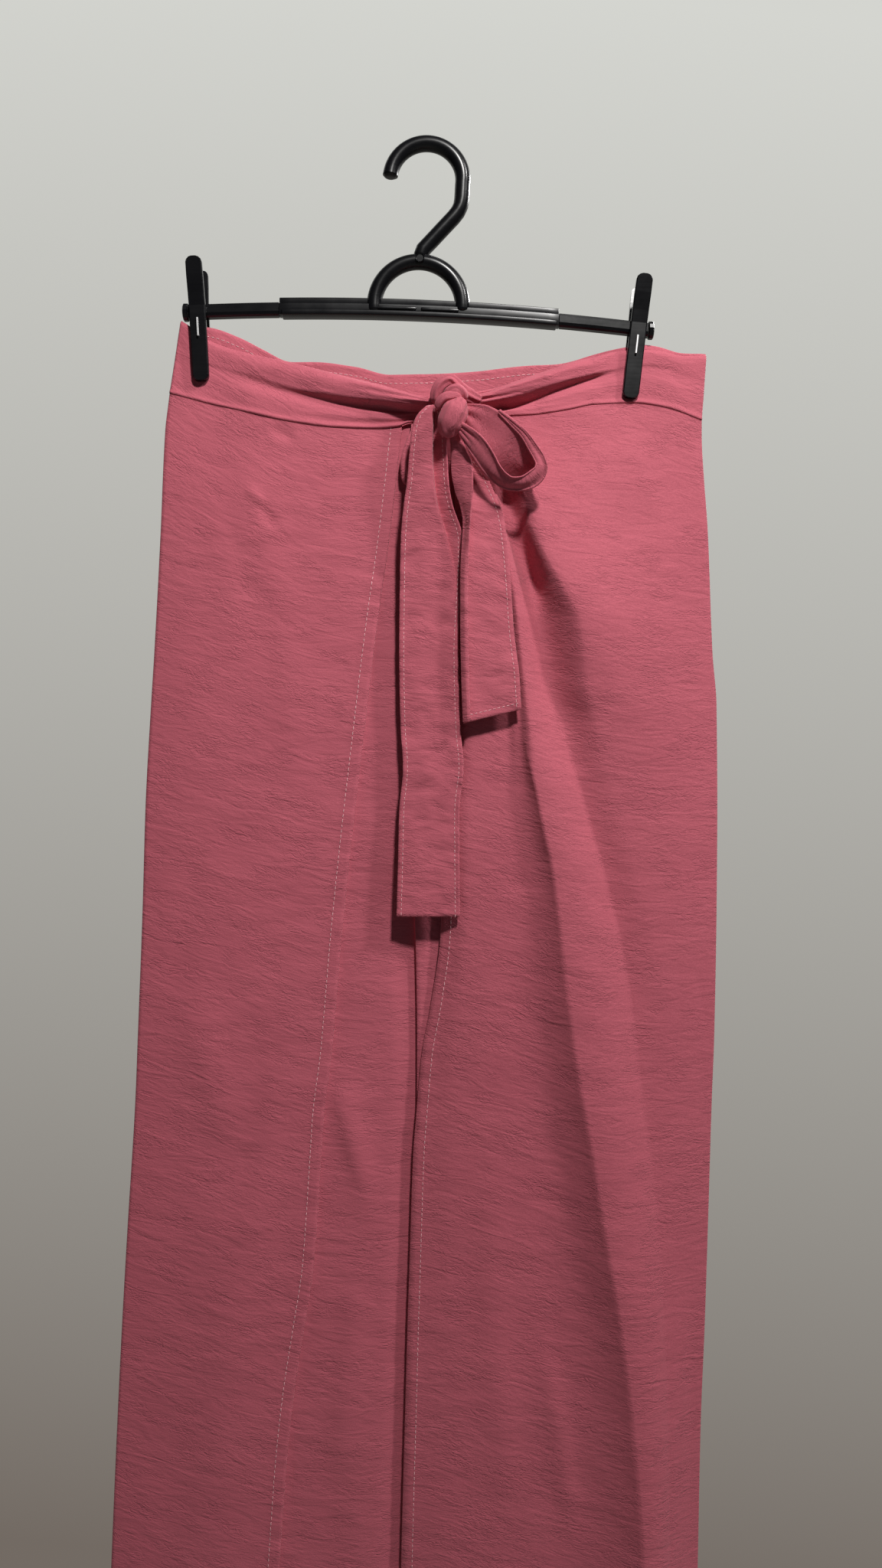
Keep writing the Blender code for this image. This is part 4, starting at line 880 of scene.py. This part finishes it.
# %% Back band
def back_band_grid(count, steps):
    first, last = BACK_TOP[0].x, BACK_TOP[-1].x
    x = np.linspace(first, last, count)
    seam_x = -164.3 + (x - first) * (175.2 + 164.3) / (last - first)
    top, seam = column(BACK_TOP, "down", x), back_top(seam_x)
    left = seam_x < -8.3
    out = np.where(left, back_out("left", seam_x, seam), back_out("right", seam_x, seam))
    share = np.linspace(0, 1, steps)[:, None]
    down = top + (seam - top) * share
    swell = 0.3 * rumple(x + 0 * down, down, 21, 22, 9)
    return place(x + (seam_x - x) * share, down, out + swell)


back_band = back_band_grid(150, 26)
band = cloth_shell("waistband_back_cloth", back_band, BAND_CLOTH, crepe, backwards=True)
top_line, top_facing = line_on_grid(back_band, 5.5, "top")
top_line = top_line + top_facing * BAND_CLOTH * MM
band_stitches = stitch_row("stitch_back_band", top_line, top_facing, 8)
declare_cloth(band, back_band, ["clip_left_rear_jaw", "clip_right_rear_jaw"],
              ["waistband_back"])

# %% [markdown]
# ## Tie
#
# The two ends of the waistband run on as ties. They are knotted once in front, and one of them
# comes back as a single loop to the right. Two tails hang down. Each strip is a grid between
# its two edges.

# %% Strips of the bow
# the bow's loop once more, with the small turns that its solid leaves out
BOW_BACK = table(
    RAIL,
    (22, 170.6, 26, 22, 180.6, 25.5), (29, 171.6, 29, 25.5, 187.4, 25),
    (36, 172.8, 30.4, 28.6, 194, 24.5), (43.6, 176.4, 31.2, 32.1, 201.1, 24),
    (49.8, 180.8, 32, 36, 206.7, 23.6), (55.4, 185.6, 32.6, 40.1, 211.3, 21),
    (60.2, 190.4, 32.8, 44.9, 213.8, 18), (64.4, 195.6, 32.6, 50, 215.3, 16),
    (67.6, 200.6, 32, 55, 215.7, 15.5), (70, 205.4, 31.2, 60.6, 214.4, 16),
    (71, 210.6, 30, 66.6, 212.9, 18))
BOW_FRONT = table(
    RAIL,
    (45, 176.3, 32.4, 44.4, 177.9, 31.6), (54, 183, 34, 51.8, 185.6, 32),
    (61.5, 190, 34.8, 58.2, 192.8, 32.6), (67.6, 198.3, 35, 62.6, 200.8, 33),
    (71.8, 205, 34.2, 65.2, 206.2, 33.4), (73.6, 211, 32.8, 66.4, 209.8, 34),
    (72.4, 215.8, 31, 65.6, 211.8, 34.2), (69.1, 220.2, 29.6, 63.4, 213.4, 34.2),
    (63.8, 223.1, 28.6, 60.4, 215.4, 34.2), (57, 224.2, 28, 57, 217, 34.4),
    (50.6, 223.7, 28, 52.8, 217.4, 35.2), (45, 221.6, 28.3, 49.2, 215.6, 36.2),
    (39, 217, 28.8, 45.6, 211.6, 37), (34, 211.5, 29, 42, 204.8, 37),
    (29.9, 205.6, 29, 37.8, 197.8, 36.2), (26.6, 200.6, 28.8, 33.9, 193, 35.2),
    (23.9, 196, 28.5, 29.7, 189.2, 34), (20.6, 190.4, 28, 25, 185.8, 32.5),
    (17, 184.5, 27.5, 20.4, 182.6, 31))


def strip_grid(rails, steps, shares, crown, rim=0.4, pleats=0.0):
    keys = list(range(len(rails)))
    at = np.linspace(0, len(rails) - 1, steps)

    def edge(kind, spot):
        return place(*[smooth_value(keys, [getattr(row, kind + part) for row in rails], spot)
                       for part in ("_x", "_down", "_out")])

    near, far = edge("near", at), edge("far", at)
    run = edge("near", at + 0.1) + edge("far", at + 0.1) - edge("near", at - 0.1) - edge("far", at - 0.1)
    normal = np.cross(far - near, run)
    normal = normal / np.linalg.norm(normal, axis=1, keepdims=True)
    share = np.array(shares)[None, :, None]
    rise = crown * 4 * share * (1 - share) + rim * np.exp(-(np.minimum(share, 1 - share) / 0.07) ** 2)
    rise = rise + 0.25 * np.sin(9 * share + 0.35 * at[:, None, None])
    rise = rise + pleats * np.cos(20 * share ** 0.8 + 1) * np.exp(-((at[-1] - at)[:, None, None] / 2.4) ** 2)
    rise = rise + pleats * np.cos(17 * share + 2) * np.exp(-(at[:, None, None] / 1.8) ** 2)
    return near[:, None] * (1 - share) + far[:, None] * share + normal[:, None] * rise * MM


shares = np.linspace(0, 1, 33)
side_loop = cloth_shell("side_loop_cloth", strip_grid(SIDE_LOOP, 50, shares, 0.2), CLOTH, crepe)
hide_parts("side_loop")
for node, rails, beside in (("bow_back", BOW_BACK, [side_loop]), ("bow_front", BOW_FRONT, [])):
    grid = strip_grid(rails, 130, shares, 0.5, 0.6, 0.5)
    strip = cloth_shell(node + "_cloth", grid, CLOTH, crepe)
    declare_cloth(strip, grid, ["knot_cloth"], [node])

# %% Tails
def tail_grid(cuts, steps, slant, lift):
    first, last = cuts[0].down, cuts[-1].down
    level = np.linspace(first, last, steps)[:, None]
    names = ("left", "front", "back", "right")
    left, front, back, right = [column(cuts, name, level) for name in names]
    outs = [column(cuts, "out_" + name, level) for name in names]
    stands = ease((level - 190) / 16) * ease((272 - level) / 40)
    outs = [outs[0] + lift * stands, outs[1] - 0.6 * lift * stands, outs[2] - 0.4 * lift * stands, outs[3]]
    xs = [left, (left + front) / 2, front, back, (back + right) / 2, right]
    ys = [outs[0], (outs[0] + outs[1]) / 2 + 0.4, outs[1], outs[2], (outs[2] + outs[3]) / 2, outs[3]]
    spots = np.concatenate([np.linspace(0, 2, 16)[:-1], np.linspace(2, 3, 8)[:-1], np.linspace(3, 5, 18)])
    spots = spots[None] + 0 * level
    x = smooth_across([float(k) for k in range(6)], xs, spots)
    out = smooth_across([float(k) for k in range(6)], ys, spots)
    across = (x - left) / np.maximum(right - left, 1.0)
    down = level + slant * across * ease(3 * (level - first) / (last - first) - 2)
    out = out + 0.5 * rumple(x, down, 31, 11, 9) + 0.32 * rumple(x, down, 32, 6, 4)
    edge = np.exp(-(np.minimum(across, 1 - across) * (right - left) / 1.6) ** 2)
    out = out + 0.35 * edge + 0.3 * edge * rumple(x, down, 33, 5, 3.5)
    return place(x, down, out)


for name, cuts, steps, slant, lift, rows in (
        ("long", LONG_TAIL, 170, 0, 0.0,
         (("left", 2.6, "left", 9), ("right", 2.6, "right", 10))),
        ("short", SHORT_TAIL, 130, SHORT_TAIL_SLANT, 3.2,
         (("left", 2.6, "left", 12), ("right", 2.6, "right", 13), ("end", 4, "bottom", 14)))):
    grid = tail_grid(cuts, steps, slant, lift)
    tail = cloth_shell("tail_" + name + "_cloth", grid, CLOTH, crepe)
    stitches = [sewn(name + "_" + row, grid, inset, side, seed, pitch=2.9, length=2.0, thick=0.42)
                for row, inset, side, seed in rows]
    declare_cloth(tail, grid, ["knot_cloth"], ["tail_" + name])

# %% [markdown]
# ## Knot
#
# The knot is the tie turned over itself: four rolls of gathered cloth that cross and press
# on each other. Each roll is a bent tube with small pleats along it.

# %% Rolls of the knot
def knot_roll(lobes, pleats, depth, twist, seed):
    keys = list(range(len(lobes)))
    at = np.linspace(0, len(lobes) - 1, 60)
    x, down, out, across, deep = [smooth_value(keys, [getattr(row, part) for row in lobes], at)
                                  for part in lobes[0]._fields]
    centre = place(x, down, out)
    along = np.gradient(centre, axis=0)
    along = along / np.linalg.norm(along, axis=1, keepdims=True)
    depth_way = np.array([0.0, -1.0, 0.0])
    side = np.cross(along, depth_way)
    side = side / np.linalg.norm(side, axis=1, keepdims=True)
    facing = np.cross(side, along)
    turn = np.linspace(0, 2 * math.pi, 48, endpoint=False)[None]
    end = np.minimum(at, len(lobes) - 1 - at)[:, None]
    close = np.sqrt(np.clip(end / 0.35, 0.02, 1))
    ripple = 1 + depth * np.cos(pleats * turn + twist * at[:, None] + seed) * np.clip(end / 0.5, 0, 1)
    wide = across[:, None] * close * ripple
    thick = deep[:, None] * close * ripple
    ring = side[:, None] * (np.cos(turn) * wide)[..., None]
    ring = ring + facing[:, None] * (np.sin(turn) * thick)[..., None]
    return centre[:, None] + ring * MM


def closed_roll(points):
    """Faces of a tube with closed ends."""
    rows, count = points.shape[:2]
    index = np.arange(rows * count).reshape(rows, count)
    ahead = np.roll(index, -1, axis=1)
    quads = np.stack([index[:-1], ahead[:-1], ahead[1:], index[1:]], axis=-1).reshape(-1, 4)
    return quads.tolist() + [index[0].tolist()[::-1], index[-1].tolist()]


KNOT_ROLL = table(
    LOBE,
    (11.5, 167.6, 28, 2.6, 3), (14.4, 164.2, 29.6, 3.6, 3.6), (18.2, 163.2, 30, 3.9, 3.9),
    (21.8, 165.2, 29, 3.5, 3.5), (23.6, 168.8, 27, 2.4, 2.6))
KNOT_STRAP = table(
    LOBE,
    (6.6, 174, 27, 2.2, 2.8), (8.6, 170.2, 29.6, 3.0, 3.1), (12.6, 167.8, 31, 3.1, 3.1),
    (17.2, 167.4, 31.2, 2.7, 2.9), (21.2, 169.2, 29.6, 2.0, 2.4))
KNOT_FRONT = table(
    LOBE,
    (21.8, 169.6, 28, 3.4, 4.4), (19.8, 172.8, 29.4, 6.2, 6.4), (17.4, 177, 29.8, 8.0, 7.6),
    (15.2, 182, 29, 8.1, 7.4), (13.8, 187, 27, 6.4, 6.2), (14, 191, 25, 3.4, 4.4))
knot_points, knot_faces, knot_flat = [], [], []
start = 0
rolls = ((KNOT_OVER, 7, 0.09, 0.5), (KNOT_ROLL, 5, 0.08, 0.5), (KNOT_STRAP, 4, 0.08, 0.4),
         (KNOT_FRONT, 7, 0.06, 0.7))
for number, (lobes, pleats, depth, twist) in enumerate(rolls):
    points = knot_roll(lobes, pleats, depth, twist, number)
    knot_points.append(points.reshape(-1, 3))
    knot_flat.append(flat_places(points).reshape(-1, 3)[:, [1, 0, 2]] + [0, 0, number])
    knot_faces += [[v + start for v in face] for face in closed_roll(points)]
    start += points.shape[0] * points.shape[1]
knot = finish_piece("knot_cloth", np.concatenate(knot_points), knot_faces, crepe,
                    np.concatenate(knot_flat))
knot.data.validate()
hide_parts("knot")
print("knot faces", len(knot.data.polygons))

# %% [markdown]
# ## Hanger
#
# A black moulded hanger with sliding arms and two clips. The arms, knobs and clips of the packed
# model are right, so they stay and take the new plastic and steel. The hook, and the sleeve with
# its arch, are modelled again: a round section is spun and extruded along the same lines, and the
# sleeve gets its thin rear flange, its body and its lower rib.

# %% Hook, arch and sleeve
ROD = 4.9
HOOK_RADIUS = 23.3
HOOK_X = -0.5
ARCH_X, ARCH_DOWN, ARCH_RADIUS = -5.7, 99.0, 28.2
HOOK_STEM = ((22.4, 26), (22.1, 31), (21.3, 35.2), (19.6, 38.8), (16.8, 42.4), (13.2, 46.2), (8.4, 51.3),
             (3.0, 57.1), (-2.6, 63), (-4.8, 69))


def bar_down(x):
    """Height of the bar's middle, which tilts and is bowed up."""
    away = x + 5.4
    return 109.3 + 0.0395 * away - 6.4 * (1 - (away / 149) ** 2)


def deselect_all():
    bpy.ops.object.select_all(action="DESELECT")


def ring_of_rod(name, x, down, turn, sides=20):
    """A filled circle across the rod's way; turn is its way in the hanger's plane."""
    deselect_all()
    bpy.ops.mesh.primitive_circle_add(vertices=sides, radius=ROD * MM, fill_type="NGON",
                                      location=(x * MM, 0, -down * MM), rotation=(0, turn, 0))
    made = bpy.context.object
    made.name = name
    bpy.ops.object.transform_apply(location=True, rotation=True, scale=True)
    bpy.ops.object.mode_set(mode="EDIT")
    bpy.ops.mesh.select_all(action="SELECT")
    return made


def rounded_ends(made, size):
    """Bevel the rims of both flat ends."""
    bpy.ops.object.mode_set(mode="OBJECT")
    mesh = made.data
    rims = {key for face in mesh.polygons if len(face.vertices) > 4 for key in face.edge_keys}
    for part in (*mesh.polygons, *mesh.vertices):
        part.select = False
    for edge in mesh.edges:
        edge.select = edge.key in rims
    bpy.ops.object.mode_set(mode="EDIT")
    bpy.ops.mesh.select_mode(type="EDGE")
    bpy.ops.mesh.bevel(offset=size * MM, segments=5, affect="EDGES")
    bpy.ops.mesh.select_all(action="SELECT")
    bpy.ops.mesh.normals_make_consistent(inside=False)
    bpy.ops.object.mode_set(mode="OBJECT")
    bpy.ops.object.shade_smooth_by_angle(angle=math.radians(35))


def bowed_bar(name, start, end, low, high, half, edge):
    """A bar extruded in short steps along the bowed line."""
    deselect_all()
    level = (low + high) / 2 - bar_down(start)
    bpy.ops.mesh.primitive_plane_add(size=1, location=(start * MM, 0, level * MM),
                                     rotation=(0, math.pi / 2, 0))
    made = bpy.context.object
    made.name = name
    made.scale = ((high - low) * MM, 2 * half * MM, 1)
    bpy.ops.object.transform_apply(location=True, rotation=True, scale=True)
    bpy.ops.object.mode_set(mode="EDIT")
    bpy.ops.mesh.select_all(action="SELECT")
    steps = max(4, round((end - start) / 7))
    for number in range(steps):
        x = start + (end - start) * number / steps
        ahead = x + (end - start) / steps
        move = ((ahead - x) * MM, 0, (bar_down(x) - bar_down(ahead)) * MM)
        bpy.ops.mesh.extrude_region_move(TRANSFORM_OT_translate={"value": move})
    bpy.ops.mesh.select_all(action="SELECT")
    bpy.ops.mesh.normals_make_consistent(inside=False)
    bpy.ops.mesh.select_all(action="DESELECT")
    bpy.ops.mesh.select_mode(type="EDGE")
    bpy.ops.mesh.edges_select_sharp(sharpness=math.radians(60))
    bpy.ops.mesh.bevel(offset=edge * MM, segments=3, affect="EDGES")
    bpy.ops.object.mode_set(mode="OBJECT")
    bpy.ops.object.shade_smooth_by_angle(angle=math.radians(35))
    return made


hook_down = HOOK_RADIUS - ROD
tip_turn, stem_turn = math.radians(176), math.radians(-8)   # where the round begins and ends
tip_x = HOOK_X + HOOK_RADIUS * math.cos(tip_turn)
tip_down = hook_down - HOOK_RADIUS * math.sin(tip_turn)
hook = ring_of_rod("hook", tip_x, tip_down, -tip_turn + math.pi)
bpy.ops.mesh.spin(steps=56, angle=stem_turn - tip_turn, center=(HOOK_X * MM, 0, -hook_down * MM),
                  axis=(0, 1, 0))
here = (HOOK_X + HOOK_RADIUS * math.cos(stem_turn), hook_down - HOOK_RADIUS * math.sin(stem_turn))
heading = math.atan2(math.cos(stem_turn), math.sin(stem_turn))
for number, there in enumerate(HOOK_STEM):
    ahead = HOOK_STEM[min(number + 1, len(HOOK_STEM) - 1)]
    bpy.ops.mesh.extrude_region_move(TRANSFORM_OT_translate={
        "value": ((there[0] - here[0]) * MM, 0, (here[1] - there[1]) * MM)})
    new_heading = math.atan2(ahead[1] - here[1], ahead[0] - here[0])
    bpy.ops.transform.rotate(value=heading - new_heading, orient_axis="Y",
                             center_override=(there[0] * MM, 0, -there[1] * MM))
    heading, here = new_heading, there
rounded_ends(hook, 2.6)

ARCH_FOOT = 4.6
arch = ring_of_rod("arch", ARCH_X - ARCH_RADIUS, ARCH_DOWN + ARCH_FOOT, math.pi)
bpy.ops.mesh.extrude_region_move(TRANSFORM_OT_translate={"value": (0, 0, ARCH_FOOT * MM)})
bpy.ops.mesh.spin(steps=48, angle=-math.pi, center=(ARCH_X * MM, 0, -ARCH_DOWN * MM), axis=(0, 1, 0))
bpy.ops.mesh.extrude_region_move(TRANSFORM_OT_translate={"value": (0, 0, -ARCH_FOOT * MM)})
rounded_ends(arch, 2.2)

# the small pin on the arch's top, where the hook is held
deselect_all()
bpy.ops.mesh.primitive_cylinder_add(vertices=24, radius=2.9 * MM, depth=3 * MM, rotation=(math.pi / 2, 0, 0),
                                    location=(-4.6 * MM, -4.1 * MM, -70.4 * MM))
pin = bpy.context.object
bpy.ops.object.transform_apply(location=True, rotation=True, scale=True)
bpy.ops.object.mode_set(mode="EDIT")
bpy.ops.mesh.select_mode(type="FACE")
bpy.ops.mesh.select_all(action="DESELECT")
bpy.ops.object.mode_set(mode="OBJECT")
for face in pin.data.polygons:
    face.select = face.normal.y < -0.9
bpy.ops.object.mode_set(mode="EDIT")
bpy.ops.mesh.inset(thickness=0.8 * MM, depth=-0.6 * MM)
bpy.ops.object.mode_set(mode="OBJECT")
bpy.ops.object.shade_smooth_by_angle(angle=math.radians(35))

parts = [arch, pin, bowed_bar("flange", -94.4, 84.0, 3.0, 7.3, 2.2, 0.5),
         bowed_bar("body", -94.6, 84.2, -3.8, 3.3, 3.5, 0.4),
         bowed_bar("rib", -93.0, 82.6, -4.5, -1.0, 4.8, 0.8),
         bowed_bar("left_rail", -34.0, -7.0, -0.4, 1.6, 4.4, 0.6),
         bowed_bar("right_rail", -4.0, 20.0, -0.4, 1.6, 4.4, 0.6)]
deselect_all()
for made in parts:
    made.select_set(True)
bpy.context.view_layer.objects.active = arch
bpy.ops.object.join()
for made, node in ((hook, "hanger_hook"), (arch, "hanger_sleeve")):
    made.name = node + "_moulded"
    made.data.materials.clear()
    made.data.materials.append(plastic)
    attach(made, "root")
    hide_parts(node)
print("hook and sleeve faces:", len(hook.data.polygons), len(arch.data.polygons))

# %% Hanger finish
for node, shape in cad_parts.items():
    if node.endswith("spring"):
        shape.material_slots[0].material = steel
    elif node.startswith(("hanger_arm", "hanger_knob", "clip")):
        shape.material_slots[0].material = plastic
print("plastic and steel on", sum(n.startswith(("hanger", "clip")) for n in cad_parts), "nodes")

# %% [markdown]
# ## Light, floor and camera
#
# One small lamp stands close in front, above and to the right, so its light falls off towards the
# hems. A second one farther off fills from the right, and a third one lights the back. The room
# gives a little light back. The floor is plain. The wall is no lamp but glows with painted light:
# bright at the top, falling off towards the bottom, and a little brighter to the right.

# %% Stage
def stage_plane(name, size, where, turn, material):
    bpy.ops.mesh.primitive_plane_add(size=size, location=where, rotation=turn)
    made = bpy.context.object
    made.name = name
    made.data.materials.append(material)


floor_paint = new_material("floor_paint", {"Roughness": 0.8, "Base Color": (0.62, 0.62, 0.59, 1)})[0]
# the wall is black and glows: its emission is painted light, not a lamp
wall_painted_glow, shader, wires = new_material("wall_painted_glow", {
    "Roughness": 1.0, "Base Color": (0, 0, 0, 1), "Specular IOR Level": 0.0, "Emission Strength": 1.0})
where = object_place(wires)
across, upward = [wires.node("ShaderNodeSeparateXYZ", {}, [(0, where)], output=k) for k in (0, 1)]
# painted falloff of light: the glow grows with height and a little towards the right
level = ((upward * 0.19 + 0.5) + across * 0.02).clamp()
mixed(wires, level, (0.17, 0.145, 0.125, 1), (0.66, 0.665, 0.63, 1)).into(shader, "Emission Color")
stage_plane("stage_floor", 14, (0, 0, -3.1), (0, 0, 0), floor_paint)
stage_plane("stage_wall", 14, (0, 3.0, -0.4), (math.radians(90), 0, 0), wall_painted_glow)

world = bpy.data.worlds.new("room")
world.use_nodes = True
room_light = world.node_tree.nodes["Background"].inputs
room_light["Color"].default_value = (0.95, 0.96, 1.0, 1)
room_light["Strength"].default_value = 0.035
bpy.context.scene.world = world
bpy.context.scene.view_settings.view_transform = "Standard"


LIT_POINT = Vector((-0.05, 0, -0.35))


def soft_lamp(name, where, size, power, colour, shine=1.0):
    lamp = bpy.data.objects.new(name, bpy.data.lights.new(name, "AREA"))
    lamp.data.shape = "DISK"
    lamp.data.size = size
    lamp.data.energy = power
    lamp.data.color = colour
    lamp.data.specular_factor = shine
    lamp.location = where
    lamp.rotation_euler = (LIT_POINT - lamp.location).to_track_quat("-Z", "Y").to_euler()
    bpy.context.scene.collection.objects.link(lamp)


soft_lamp("ceiling_lamp", (0.26, -0.86, 0.62), 0.13, 15.3, (1.0, 0.985, 0.96))
soft_lamp("side_lamp", (1.9, -1.1, 1.5), 0.3, 31, (1.0, 0.985, 0.97))
soft_lamp("back_lamp", (1.3, 1.2, 0.8), 0.3, 26, (1.0, 0.99, 0.98), 0.1)

camera = bpy.data.objects.new("camera", bpy.data.cameras.new("camera"))
camera.location = (0.0088, -0.725, -0.405)
camera.rotation_euler = (math.radians(90), 0, 0)
camera.data.lens = 26
camera.data.sensor_width = 36
bpy.context.scene.collection.objects.link(camera)
bpy.context.scene.camera = camera
